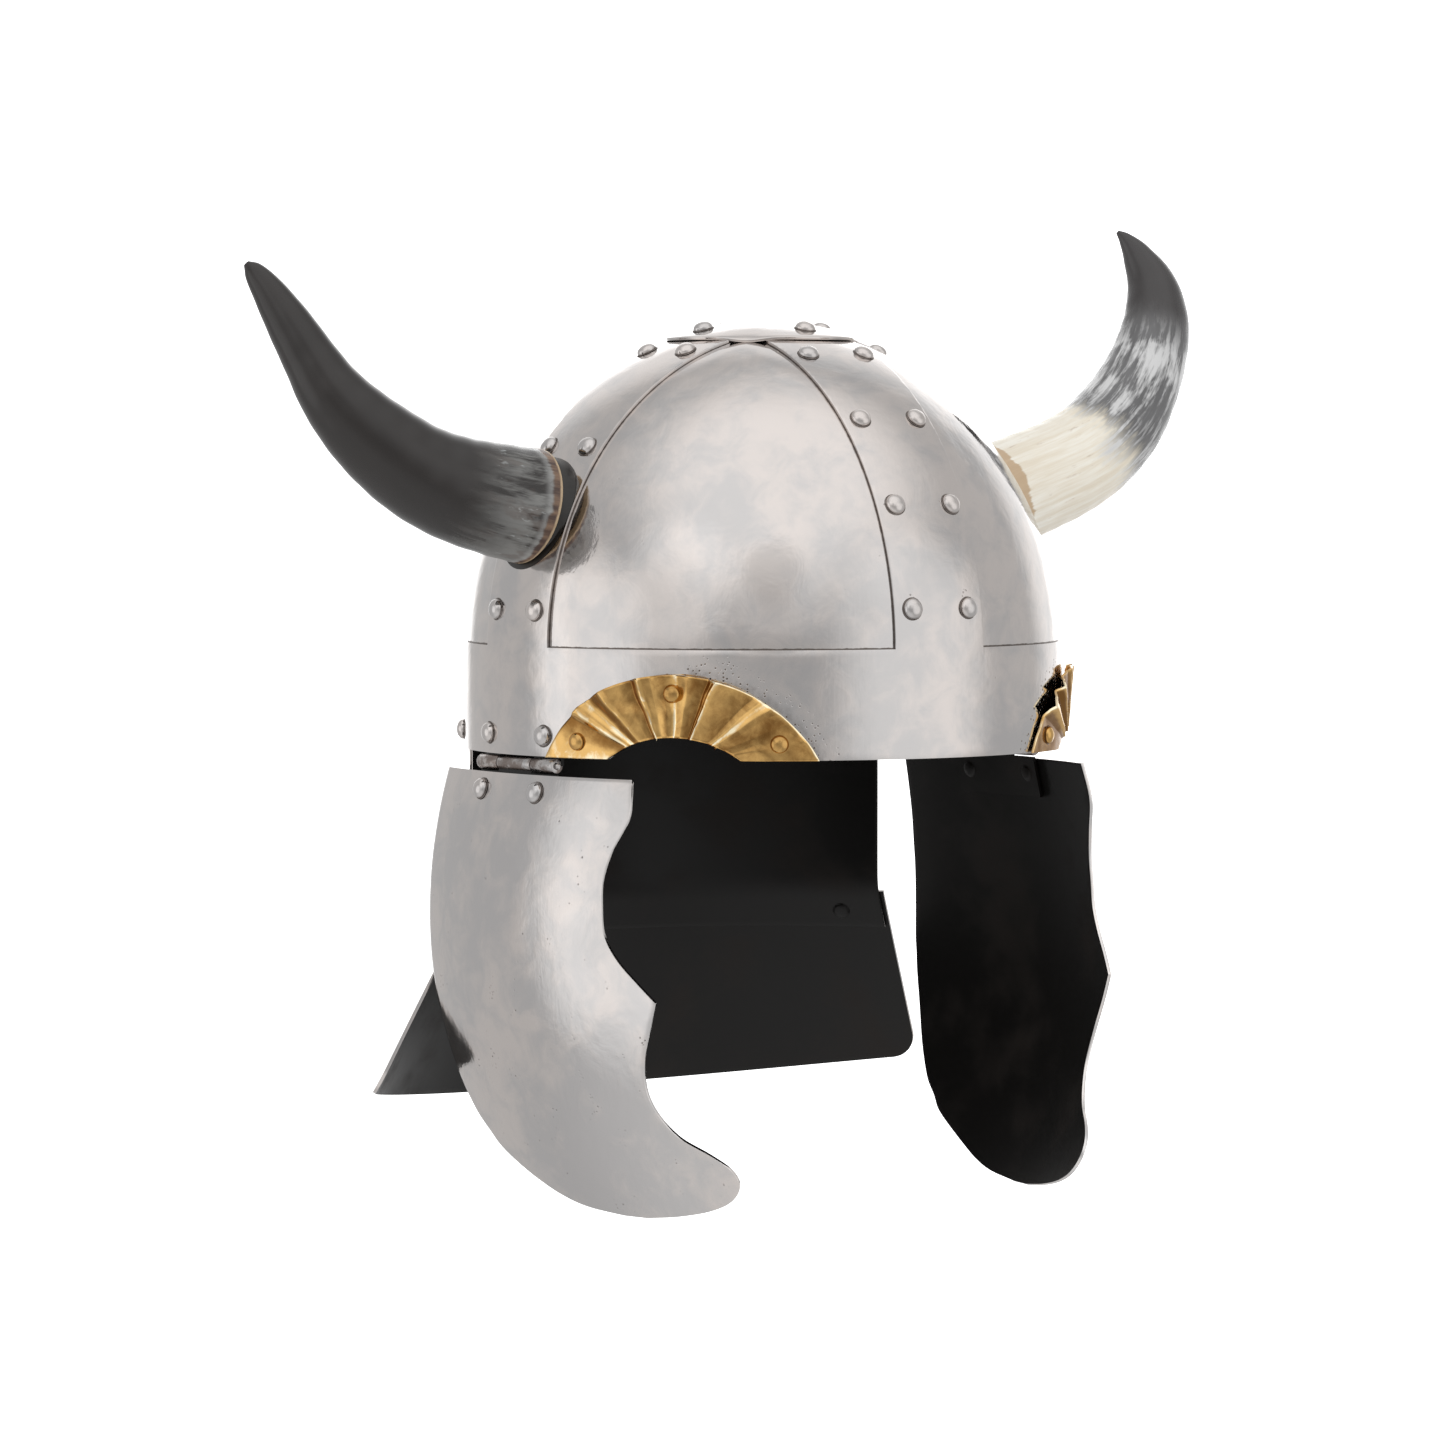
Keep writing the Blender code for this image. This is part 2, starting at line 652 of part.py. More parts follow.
def knuckle_spans():
    """Ends along Y of the front, middle and rear knuckles."""
    length = FRONT_KNUCKLE + MIDDLE_KNUCKLE + REAR_KNUCKLE + 2.0 * KNUCKLE_GAP
    start = -length / 2.0
    front = (start, start + FRONT_KNUCKLE)
    middle = (front[1] + KNUCKLE_GAP, front[1] + KNUCKLE_GAP + MIDDLE_KNUCKLE)
    rear = (middle[1] + KNUCKLE_GAP, -start)
    return front, middle, rear


def add_knuckle(leaf, side, span, cutters, name):
    """Join one solid knuckle to a leaf."""
    centre = Vector((side * HINGE_X, (span[0] + span[1]) / 2.0, HINGE_Z))
    rod = rod_builder(BARREL_RADIUS, span[1] - span[0], centre, (0.0, 1.0, 0.0), BARREL_SIDES)
    add_boolean(leaf, make_object(name, rod, cutters), "UNION")


def cut_bore(leaf, side, cutters, name):
    """Clear the pin's hole through a leaf's knuckles."""
    centre = Vector((side * HINGE_X, 0.0, HINGE_Z))
    length = 2.0 * (FRONT_KNUCKLE + MIDDLE_KNUCKLE + REAR_KNUCKLE)
    rod = rod_builder(PIN_RADIUS + HOLE_CLEARANCE, length, centre, (0.0, 1.0, 0.0), BARREL_SIDES)
    add_boolean(leaf, make_object(name, rod, cutters), "DIFFERENCE")


def cut_leaf_notch(leaf, side, span, low_z, high_z, cutters, name):
    """Clear a leaf round the other leaf's knuckle."""
    low = (side * HINGE_X - LEAF_NOTCH_REACH, span[0], low_z)
    high = (side * HINGE_X + LEAF_NOTCH_REACH, span[1], high_z)
    add_boolean(leaf, make_object(name, box_builder(low, high), cutters), "DIFFERENCE")


def make_upper_leaves(parts, cutters):
    """The hinge leaf inside the band, with two knuckles and its two rivets."""
    front, middle, rear = knuckle_spans()
    clear = BARREL_RADIUS + KNUCKLE_GAP
    radius = BAND_RADIUS - SHEET - SEAT_GAP - SHEET / 2.0
    for name, side in SIDES:
        rows = []
        for z in (HINGE_Z, HINGE_Z + LEAF_HEIGHT):
            row = []
            for column in range(LEAF_COLUMNS + 1):
                y = front[0] + (rear[1] - front[0]) * column / LEAF_COLUMNS
                row.append(Vector((side * math.sqrt(radius ** 2 - y ** 2), y, z)))
            rows.append(row)
        leaf = make_object("hinge_upper_leaf_" + name, loft_builder(rows), parts, STEEL)
        add_solidify(leaf, SHEET)
        span = (front[1], rear[0])
        cut_leaf_notch(leaf, side, span, HINGE_Z - clear, HINGE_Z + clear, cutters, "upper_notch_" + name)
        add_knuckle(leaf, side, front, cutters, "upper_knuckle_front_" + name)
        add_knuckle(leaf, side, rear, cutters, "upper_knuckle_rear_" + name)
        cut_bore(leaf, side, cutters, "upper_bore_" + name)
        for index, along in enumerate((-1.0, 1.0)):
            seat, normal = upper_hinge_seat(side, along)
            grip = 2.0 * SHEET + 2.0 * SEAT_GAP
            rivet = rivet_builder(
                seat + normal * SEAT_GAP, normal, RIVET_RADIUS, RIVET_HEIGHT, grip, RIVET_BUTTON)
            tool = make_object("upper_rivet_%s_%d" % (name, index), rivet, cutters)
            add_boolean(leaf, tool, "UNION")


def make_lower_leaves(parts, cutters, pivots):
    """The hinge leaf inside the cheek plate, with the middle knuckle and its two rivets."""
    front, middle, rear = knuckle_spans()
    clear = BARREL_RADIUS + KNUCKLE_GAP
    depth = SHEET + LEAF_SEAT_GAP + SHEET / 2.0
    grip = 2.0 * SHEET + SEAT_GAP + LEAF_SEAT_GAP
    for name, side in SIDES:
        rows = []
        for z in (HINGE_Z, HINGE_Z - LEAF_HEIGHT / 2.0, HINGE_Z - LEAF_HEIGHT):
            row = []
            for column in range(LEAF_COLUMNS + 1):
                y = front[0] + (rear[1] - front[0]) * column / LEAF_COLUMNS
                row.append(cheek_point(side, y, z, depth))
            rows.append(row)
        leaf = make_object("hinge_lower_leaf_" + name, loft_builder(rows), parts, STEEL)
        add_solidify(leaf, SHEET)
        for word, span in (("front", (front[0] - clear, middle[0])), ("rear", (middle[1], rear[1] + clear))):
            cut_leaf_notch(
                leaf, side, span, HINGE_Z - clear, HINGE_Z + clear, cutters, "lower_notch_%s_%s" % (word, name))
        add_knuckle(leaf, side, middle, cutters, "lower_knuckle_" + name)
        cut_bore(leaf, side, cutters, "lower_bore_" + name)
        for index, along in enumerate((-1.0, 1.0)):
            seat, normal = cheek_rivet_seat(side, along)
            rivet = rivet_builder(
                seat + normal * SEAT_GAP, normal, RIVET_RADIUS, RIVET_HEIGHT, grip, RIVET_BUTTON)
            tool = make_object("lower_rivet_%s_%d" % (name, index), rivet, cutters)
            add_boolean(leaf, tool, "UNION")
        hang_on(leaf, pivots[name])


def make_pins(parts):
    """The pin through each hinge's knuckles."""
    front, _, rear = knuckle_spans()
    length = rear[1] - front[0] + 2.0 * PIN_OVERHANG
    for name, side in SIDES:
        centre = Vector((side * HINGE_X, 0.0, HINGE_Z))
        rod = rod_builder(PIN_RADIUS, length, centre, (0.0, 1.0, 0.0), BARREL_SIDES)
        make_object("hinge_pin_" + name, rod, parts, STEEL)


def neck_flange_point(run, offset):
    """(radius, height) a distance down the flare from the bend, offset outwards from the upper plate."""
    flare = math.radians(NECK_FLARE)
    radius = BAND_RADIUS - SHEET - SEAT_GAP - SHEET / 2.0
    return (
        radius + run * math.sin(flare) + offset * math.cos(flare),
        NECK_BEND_Z - run * math.cos(flare) + offset * math.sin(flare),
    )


def neck_side_bearing(radius):
    """Bearing of a neck plate's side edge at a radius, behind the reach of the swinging cheek plates."""
    return 180.0 - math.degrees(math.acos((CHEEK_REAR + NECK_SIDE_CLEARANCE) / radius))


def neck_seam_seat(bearing):
    """A point and outward normal on the lower plate's outer face, for a seam rivet."""
    flare = math.radians(NECK_FLARE)
    radius, height = neck_flange_point(NECK_SEAM_RIVET_DROP, SEAT_GAP + 1.5 * SHEET)
    ray = direction(bearing)
    normal = ray * math.cos(flare) + Vector((0.0, 0.0, math.sin(flare)))
    return ray * radius + Vector((0.0, 0.0, height)), normal


def make_upper_neck_plate(parts, cutters):
    """The upright plate inside the band, bent out into a flange along its lower edge, with its rivets."""
    radius, bend = neck_flange_point(0.0, 0.0)
    start = neck_side_bearing(radius)
    profile = profile_builder([(radius, NECK_LAP), (radius, bend), neck_flange_point(NECK_FLANGE, 0.0)], start)
    plate = make_object("neck_plate_upper", profile, parts, BLACK_PAINT)
    add_screw(plate, NECK_STEPS, math.radians(360.0 - 2.0 * start))
    add_solidify(plate, SHEET)
    grip = 2.0 * SHEET + 2.0 * SEAT_GAP
    for index, bearing in enumerate(NECK_BAND_RIVET_BEARINGS):
        seat, normal = band_seat(bearing, NECK_BAND_RIVET_Z)
        rivet = rivet_builder(seat + normal * SEAT_GAP, normal, RIVET_RADIUS, RIVET_HEIGHT, grip, RIVET_BUTTON)
        add_boolean(plate, make_object("neck_band_rivet_%d" % index, rivet, cutters), "UNION")
    for index, bearing in enumerate(NECK_SEAM_RIVET_BEARINGS):
        seat, normal = neck_seam_seat(bearing)
        rivet = rivet_builder(seat + normal * SEAT_GAP, normal, RIVET_RADIUS, RIVET_HEIGHT, grip, RIVET_BUTTON)
        add_boolean(plate, make_object("neck_seam_rivet_%d" % index, rivet, cutters), "UNION")


def make_lower_neck_plate(parts, cutters):
    """The flared plate outside the flange, longer at the back, with rounded lower corners."""
    offset = SHEET + SEAT_GAP
    top_radius, _ = neck_flange_point(NECK_PLATE_START, offset)
    start = neck_side_bearing(top_radius)
    spread = 180.0 - start
    foot_radius, _ = neck_flange_point(NECK_SIDE_LENGTH, offset)
    corner_turn = math.degrees(NECK_CORNER / foot_radius)
    bearings = [start + 2.0 * spread * step / NECK_STEPS for step in range(NECK_STEPS + 1)]
    for share in NECK_CORNER_SHARES:
        bearings.append(start + share * corner_turn)
        bearings.append(360.0 - start - share * corner_turn)
    rows = []
    for bearing in sorted(bearings):
        from_side = spread - abs(bearing - 180.0)
        bulge = math.sin(math.pi / 2.0 * from_side / spread)
        length = NECK_SIDE_LENGTH + (NECK_BACK_LENGTH - NECK_SIDE_LENGTH) * bulge
        inset = max(0.0, 1.0 - from_side / corner_turn)
        length -= NECK_CORNER * (1.0 - math.sqrt(1.0 - inset ** 2))
        row = []
        for share in NECK_ROW_SHARES:
            run = NECK_PLATE_START + (length - NECK_PLATE_START) * share
            radius, height = neck_flange_point(run, offset)
            row.append(direction(bearing) * radius + Vector((0.0, 0.0, height)))
        rows.append(row)
    plate = make_object("neck_plate_lower", loft_builder(rows), parts, BLACK_PAINT)
    add_solidify(plate, SHEET)
    for index, bearing in enumerate(NECK_SEAM_RIVET_BEARINGS):
        seat, normal = neck_seam_seat(bearing)
        cut_rivet_hole(plate, cutters, seat, normal, "seam_hole_cutter_%d" % index)


def main():
    """Build the whole helmet."""
    parts, cutters = clear_scene()
    make_frame(parts, cutters)
    make_panels(parts, cutters)
    make_crown_disc(parts)
    make_strap_rivets(parts)
    make_brow_plates(parts, cutters)
    make_horn("right", -1.0, RIGHT_HORN_REACH, RIGHT_HORN_RISE, RIGHT_HORN_SECTIONS, DARK_HORN, parts)
    make_horn("left", 1.0, LEFT_HORN_REACH, LEFT_HORN_RISE, LEFT_HORN_SECTIONS, PALE_HORN, parts)
    make_horn_plugs(parts, cutters)
    pivots = make_pivots(parts)
    make_cheek_plates(parts, cutters, pivots)
    make_upper_leaves(parts, cutters)
    make_lower_leaves(parts, cutters, pivots)
    make_pins(parts)
    make_upper_neck_plate(parts, cutters)
    make_lower_neck_plate(parts, cutters)


main()
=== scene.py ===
# %% [markdown]
# # A viking helmet in polished steel
# This script dresses the helmet's CAD model: a banded dome with two horns, brass brow plates, hinged cheek
# plates and a flared neck guard. Lengths are in metres, +Z is up, the face looks along -Y and the wearer's
# right is -X. A bearing is an angle about Z from the front towards +X.

# %% Imports
import math
import random
from bisect import bisect_right

import bmesh
import bpy
from mathutils import Matrix, Vector, noise


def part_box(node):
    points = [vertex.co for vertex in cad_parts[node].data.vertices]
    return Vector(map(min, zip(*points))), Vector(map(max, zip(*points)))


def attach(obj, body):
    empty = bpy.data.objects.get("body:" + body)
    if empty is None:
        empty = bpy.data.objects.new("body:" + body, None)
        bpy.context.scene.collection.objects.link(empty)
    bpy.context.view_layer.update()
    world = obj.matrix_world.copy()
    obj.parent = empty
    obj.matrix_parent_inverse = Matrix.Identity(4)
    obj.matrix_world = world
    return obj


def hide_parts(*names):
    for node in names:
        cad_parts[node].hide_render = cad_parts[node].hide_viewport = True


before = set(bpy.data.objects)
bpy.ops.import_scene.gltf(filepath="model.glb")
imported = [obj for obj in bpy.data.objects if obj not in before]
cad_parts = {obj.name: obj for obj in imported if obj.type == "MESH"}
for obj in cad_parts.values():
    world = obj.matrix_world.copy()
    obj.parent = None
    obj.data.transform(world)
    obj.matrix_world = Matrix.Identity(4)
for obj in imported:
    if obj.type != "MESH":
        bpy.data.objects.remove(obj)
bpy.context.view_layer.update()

# %% [markdown]
# ## Driving dimensions
# The band's radius and the dome's height come from the CAD frame. The rest are the sheet thickness, the
# clearances and the places of the parts that the dome carries.

# %% Driving dimensions
MM = 0.001
frame_low, frame_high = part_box("dome_frame")
BAND_RADIUS = frame_high.x
BAND_HEIGHT = 38.0 * MM
DOME_RISE = frame_high.z - BAND_HEIGHT
SHEET = 1.2 * MM
SEAT_GAP = 0.3 * MM
STRAP_WIDTH = 38.0 * MM
PANEL_DEPTH = SHEET + SEAT_GAP
PANEL_PARTING = 8.0 * MM
PANEL_LAP = 12.0 * MM
DISC_RADIUS = 35.0 * MM
RIVET_RADIUS = 3.6 * MM
RIVET_HEIGHT = 2.9 * MM
SIDES = (("right", -1.0), ("left", 1.0))
print("Band radius %.1f mm, dome rise %.1f mm" % (BAND_RADIUS / MM, DOME_RISE / MM))

# %% [markdown]
# ## Places on the dome
# Above the band the dome is a turned ellipse. These functions give a point and a normal on it.


# %% Places on the dome
def direction(bearing):
    """Unit vector at a bearing in degrees."""
    angle = math.radians(bearing)
    return Vector((math.sin(angle), -math.cos(angle), 0.0))


def dome_point(angle, depth):
    """(radius, height) at an angle above the band's top, a depth under the straps' face."""
    return (
        (BAND_RADIUS - depth) * math.cos(angle),
        BAND_HEIGHT + (DOME_RISE - depth) * math.sin(angle),
    )


def dome_normal(point):
    """Outward normal of the dome or the band at a place on it."""
    if point.z <= BAND_HEIGHT:
        return Vector((point.x, point.y, 0.0)).normalized()
    return Vector((
        point.x / BAND_RADIUS ** 2,
        point.y / BAND_RADIUS ** 2,
        (point.z - BAND_HEIGHT) / DOME_RISE ** 2,
    )).normalized()


def strap_seat(across, angle, bearing, lift=0.0):
    """A point and normal on the straps' face, a distance across the strap at a bearing."""
    lengthwise = direction(bearing)
    sideways = Vector((-lengthwise.y, lengthwise.x, 0.0))
    radius, height = dome_point(math.radians(angle), -lift)
    point = lengthwise * math.sqrt(radius ** 2 - across ** 2) + sideways * across
    point.z = height
    return point, dome_normal(point)


def band_seat(bearing, height):
    """A point and normal on the band's outer face."""
    normal = direction(bearing)
    return normal * BAND_RADIUS + Vector((0.0, 0.0, height)), normal


def circle_through(half_width, rise):
    """Depth of the centre below the chord, and radius, of the arc with this half width and rise."""
    depth = (half_width ** 2 - rise ** 2) / (2.0 * rise)
    return depth, depth + rise


def curve_value(knots, values, place, corners=()):
    """A smooth curve through the values at the knots; at a corner its slope may jump."""
    last = len(knots) - 1
    index = max(0, min(last - 1, bisect_right(knots, place) - 1))

    def slope(knot, side):
        low = knot if knot == 0 or (knot in corners and side > 0) else knot - 1
        high = knot if knot == last or (knot in corners and side < 0) else knot + 1
        return (values[high] - values[low]) / (knots[high] - knots[low])

    span = knots[index + 1] - knots[index]
    share = (place - knots[index]) / span
    start = slope(index, 1) * span
    end = slope(index + 1, -1) * span
    return (
        (2.0 * share ** 3 - 3.0 * share ** 2 + 1.0) * values[index]
        + (share ** 3 - 2.0 * share ** 2 + share) * start
        + (3.0 * share ** 2 - 2.0 * share ** 3) * values[index + 1]
        + (share ** 3 - share ** 2) * end
    )


print("Top of the dome:", [round(value, 4) for value in dome_point(math.pi / 2.0, 0.0)])

# %% [markdown]
# ## Node graphs
# A `Wire` is a shader socket that can be added and multiplied as a number can. A `Graph` adds nodes to a
# material or a world: the settings come first, then the values and wires that feed the node.


# %% Node graphs
class Wire:
    """An output socket with arithmetic."""

    def __init__(self, graph, socket):
        self.graph = graph
        self.socket = socket

    def calculate(self, operation, *values):
        inputs = dict(enumerate(values))
        return self.graph.wire("ShaderNodeMath", {"operation": operation}, inputs)

    def __add__(self, other):
        return self.calculate("ADD", self, other)

    def __radd__(self, other):
        return self.calculate("ADD", other, self)

    def __sub__(self, other):
        return self.calculate("SUBTRACT", self, other)

    def __rsub__(self, other):
        return self.calculate("SUBTRACT", other, self)

    def __mul__(self, other):
        return self.calculate("MULTIPLY", self, other)

    def __rmul__(self, other):
        return self.calculate("MULTIPLY", other, self)

    def rise(self, low, high):
        """0 below low, 1 above high and smooth between them."""
        settings = {"interpolation_type": "SMOOTHSTEP"}
        return self.graph.wire("ShaderNodeMapRange", settings, {"Value": self, "From Min": low, "From Max": high})

    def larger(self, other):
        return self.calculate("MAXIMUM", self, other)

    def size(self):
        return self.calculate("ABSOLUTE", self)


class Graph:
    """A node tree that nodes are added to."""

    def __init__(self, tree):
        self.tree = tree

    def feed(self, socket, value):
        if isinstance(value, Wire):
            self.tree.links.new(value.socket, socket)
        else:
            socket.default_value = value

    def node(self, kind, settings, inputs):
        made = self.tree.nodes.new(kind)
        for name, value in settings.items():
            setattr(made, name, value)
        for name, value in inputs.items():
            self.feed(made.inputs[name], value)
        return made

    def wire(self, kind, settings, inputs, output=0):
        return Wire(self, self.node(kind, settings, inputs).outputs[output])

    def place(self):
        return self.wire("ShaderNodeTexCoord", {}, {}, "Object")

    def attribute(self, name, output="Fac"):
        return self.wire("ShaderNodeAttribute", {"attribute_name": name}, {}, output)

    def stretched(self, place, scale):
        return self.wire("ShaderNodeVectorMath", {"operation": "MULTIPLY"}, {0: place, 1: scale})

    def parts(self, place):
        """The three coordinates of a place."""
        split = self.node("ShaderNodeSeparateXYZ", {}, {0: place})
        return [Wire(self, output) for output in split.outputs]

    def clouds(self, place, scale, detail=3.0, grain=0.5, warp=0.0):
        inputs = {"Vector": place, "Scale": scale, "Detail": detail, "Roughness": grain, "Distortion": warp}
        return self.wire("ShaderNodeTexNoise", {}, inputs)

    def specks(self, place, scale):
        return self.wire("ShaderNodeTexVoronoi", {}, {"Vector": place, "Scale": scale})

    def mix(self, share, first, second):
        """A colour between two colours."""
        return self.wire("ShaderNodeMix", {"data_type": "RGBA"}, {0: share, 6: first, 7: second}, 2)

    def bump(self, height, distance, strength=1.0):
        inputs = {"Height": height, "Distance": distance, "Strength": strength}
        return self.wire("ShaderNodeBump", {}, inputs)


def new_material(name, **sockets):
    """A Principled material with values on its own sockets, and the graph that feeds it."""
    material = bpy.data.materials.new(name)
    material.use_nodes = True
    graph = Graph(material.node_tree)
    surface = material.node_tree.nodes["Principled BSDF"]
    for socket, value in sockets.items():
        surface.inputs[socket.replace("_", " ")].default_value = value
    return material, graph, surface


# %% [markdown]
# ## Steel
# The plates are polished steel with soft warm and cool clouds, hazy patches where the polish is duller, and
# faint streaks. The mesh carries an attribute of dirt and painted shade: a little of it brings out pits, a lot
# stains brown, and on the skirts round the rivets it paints contact shade as well as dirt. Along the panels'
# joints with the straps and the band a ragged line of painted shade and dirt is added.


# %% Steel
def make_steel(name, shade=1.0, gloss=0.045, pitting=0.62, rust=0.0, seam_shade=False):
    """Polished sheet steel; for the panels it also paints a ragged line of shade and dirt where they meet the straps
    and the band.
    """
    material, graph, surface = new_material(name, Metallic=1.0)
    place = graph.place()
    clouds = graph.clouds(place, 16.0, 4.0, 0.6, 0.6)
    blotches = graph.clouds(place, 75.0, 4.0, 0.6, 0.5)
    haze = graph.clouds(place, 34.0, 3.0, 0.55, 0.8)
    fine = graph.clouds(place, 260.0, 3.0, 0.6)
    spots = graph.clouds(place, 260.0, 4.0, 0.7)
    warm = (0.690 * shade, 0.640 * shade, 0.612 * shade, 1.0)
    cool = (0.575 * shade, 0.558 * shade, 0.552 * shade, 1.0)
    tone = clouds * 0.55 + blotches * 0.45
    colour = graph.mix(tone.rise(0.40, 0.60), cool, warm)
    # The stored attribute: dirt, and on the rivet skirts painted contact shade as well
    grime_shade_and_highlight = graph.attribute("grime_shade_and_highlight")
    dots = 1.0 - graph.specks(place, 620.0).rise(0.14, 0.30)
    pits = dots * (graph.clouds(place, 150.0, 3.0) * pitting + grime_shade_and_highlight * 0.55).rise(0.42, 0.52)
    stain_and_shade = (grime_shade_and_highlight + spots * 0.5 - 0.5).rise(0.30, 0.80)
    # Painted shade, with some dirt, in a ragged line where the panels meet the straps and the band
    if seam_shade:
        ragged = (spots - 0.5) * SEAM_SHADE_RAGGED
        across, along, up = graph.parts(place)
        seam_shade_mask = 1.0 - (up + ragged - BAND_HEIGHT).rise(SEAM_SHADE_WIDTH, SEAM_SHADE_WIDTH * 1.7)
        for coordinate in (across, along):
            seam_shade_mask = seam_shade_mask.larger(1.0 - (coordinate.size() + ragged - STRAP_WIDTH / 2.0).rise(0.0, SEAM_SHADE_WIDTH))
        stain_and_shade = stain_and_shade.larger(seam_shade_mask)
    colour = graph.mix(pits * 0.75, colour, (0.11, 0.090, 0.080, 1.0))
    # Dark brown stain, which along the panels' joints and on the rivet skirts is painted shade as well as dirt
    colour = graph.mix(stain_and_shade * 0.85, colour, (0.085, 0.062, 0.050, 1.0))
    browned = graph.clouds(place, 170.0, 3.0, 0.6).rise(0.38, 0.58) * rust
    colour = graph.mix(browned, colour, (0.150, 0.105, 0.085, 1.0))
    graph.feed(surface.inputs["Base Color"], colour)
    dull = haze.rise(0.35, 0.70) * 0.07 + blotches.rise(0.40, 0.70) * 0.04
    graph.feed(surface.inputs["Roughness"], gloss + dull + pits * 0.2 + stain_and_shade * 0.3 + browned * 0.2)
    streaks = graph.clouds(graph.stretched(place, (300.0, 300.0, 30.0)), 3.0, 2.0)
    height = clouds * 7.0 + blotches * 2.0 + fine * 0.22 + streaks * 0.2 - pits * 1.5
    graph.feed(surface.inputs["Normal"], graph.bump(height, 0.00006, 1.0))
    return material


# Width and raggedness of the painted shade line along the panels' joints
SEAM_SHADE_WIDTH = 0.38 * MM
SEAM_SHADE_RAGGED = 0.9 * MM
steel = make_steel("polished steel")
# The panel steel paints the shade line along its joints with the straps and the band
panel_steel = make_steel("panel steel", seam_shade=True)
cheek_steel = make_steel("cheek plate steel", 1.0, 0.07, 0.70)
rivet_steel = make_steel("hammered rivet steel", 0.96, 0.12, 0.66)
hinge_steel = make_steel("browned hinge steel", 0.80, 0.20, 0.80, 0.75)
# A steel brighter than the polished one, on the cheek plates' cut edges, paints a highlight along them
highlight_edge_steel = make_steel("edge steel with painted highlight", 1.30, 0.12, 0.50)
print("Steels:", steel.name, cheek_steel.name, rivet_steel.name, hinge_steel.name)

# %% [markdown]
# ## Brass, black paint and the plugs
# The brow plates are aged brass: brown where the stored attribute is high, in the valleys, and painted with a cream
# highlight where it is below 0, on the crests. The insides are black.


# %% Brass, black paint and the plugs
def make_brass():
    """Aged sheet brass, with cream highlights painted on the crests."""
    material, graph, surface = new_material("aged brass", Metallic=1.0)
    place = graph.place()
    age = graph.clouds(place, 60.0, 4.0, 0.6, 0.8)
    spots = graph.clouds(place, 300.0, 3.0, 0.7)
    depth = graph.attribute("grime_shade_and_highlight")
    mottle = graph.clouds(place, 120.0, 4.0, 0.65, 1.2)
    tarnish = (age * 0.45 + mottle * 0.45 + spots * 0.20 + depth * 0.50 - 0.42).rise(0.0, 0.50)
    colour = graph.mix(tarnish, (0.74, 0.455, 0.160, 1.0), (0.235, 0.112, 0.030, 1.0))
    # Dark stain: tarnish in the deepest valleys, and dirt with painted contact shade on the rivet skirts
    stain_and_shade = (depth + spots * 0.3 - 0.95).rise(0.05, 0.25)
    colour = graph.mix(stain_and_shade * 0.8, colour, (0.07, 0.035, 0.012, 1.0))
    # A cream highlight painted where the stored value is below 0, on the crests
    painted_highlight = (0.0 - depth + (mottle - 0.5) * 1.5).rise(0.15, 0.70)
    colour = graph.mix(painted_highlight, colour, (1.0, 0.88, 0.62, 1.0))
    graph.feed(surface.inputs["Base Color"], colour)
    graph.feed(surface.inputs["Roughness"], 0.055 + tarnish * 0.10 + spots * 0.04)
    graph.feed(surface.inputs["Normal"], graph.bump(spots * 0.5 + age, 0.00006, 0.6))
    return material


def make_black_paint():
    """Satin black on the inside of the plates, worn a little grey."""
    material, graph, surface = new_material("black inside", Metallic=0.0, Specular_IOR_Level=0.25)
    place = graph.place()
    wear = graph.clouds(place, 30.0, 4.0, 0.6).rise(0.45, 0.75)
    colour = graph.mix(wear, (0.0062, 0.0053, 0.0048, 1.0), (0.0150, 0.0112, 0.0092, 1.0))
    graph.feed(surface.inputs["Base Color"], colour)
    graph.feed(surface.inputs["Roughness"], 0.42 + wear * 0.2)
    graph.feed(surface.inputs["Normal"], graph.bump(graph.clouds(place, 500.0, 2.0), 0.00003, 0.6))
    return material


def make_plug_stain():
    """Black stained wood with a soft sheen."""
    material, graph, surface = new_material("stained plug", Metallic=0.0)
    place = graph.place()
    lines = graph.clouds(graph.stretched(place, (30.0, 400.0, 400.0)), 1.0, 3.0)
    colour = graph.mix(lines, (0.008, 0.008, 0.008, 1.0), (0.030, 0.026, 0.022, 1.0))
    graph.feed(surface.inputs["Base Color"], colour)
    graph.feed(surface.inputs["Roughness"], 0.30 + lines * 0.15)
    return material


brass = make_brass()
black_paint = make_black_paint()
plug_stain = make_plug_stain()
print("Others:", brass.name, black_paint.name, plug_stain.name)

# %% [markdown]
# ## Horn
# Horn is made of fibres that run from the base to the tip. The mesh keeps its unbent place in the attribute
# `grain`, two values round the horn and one along it, and its share of the length in `reach`.


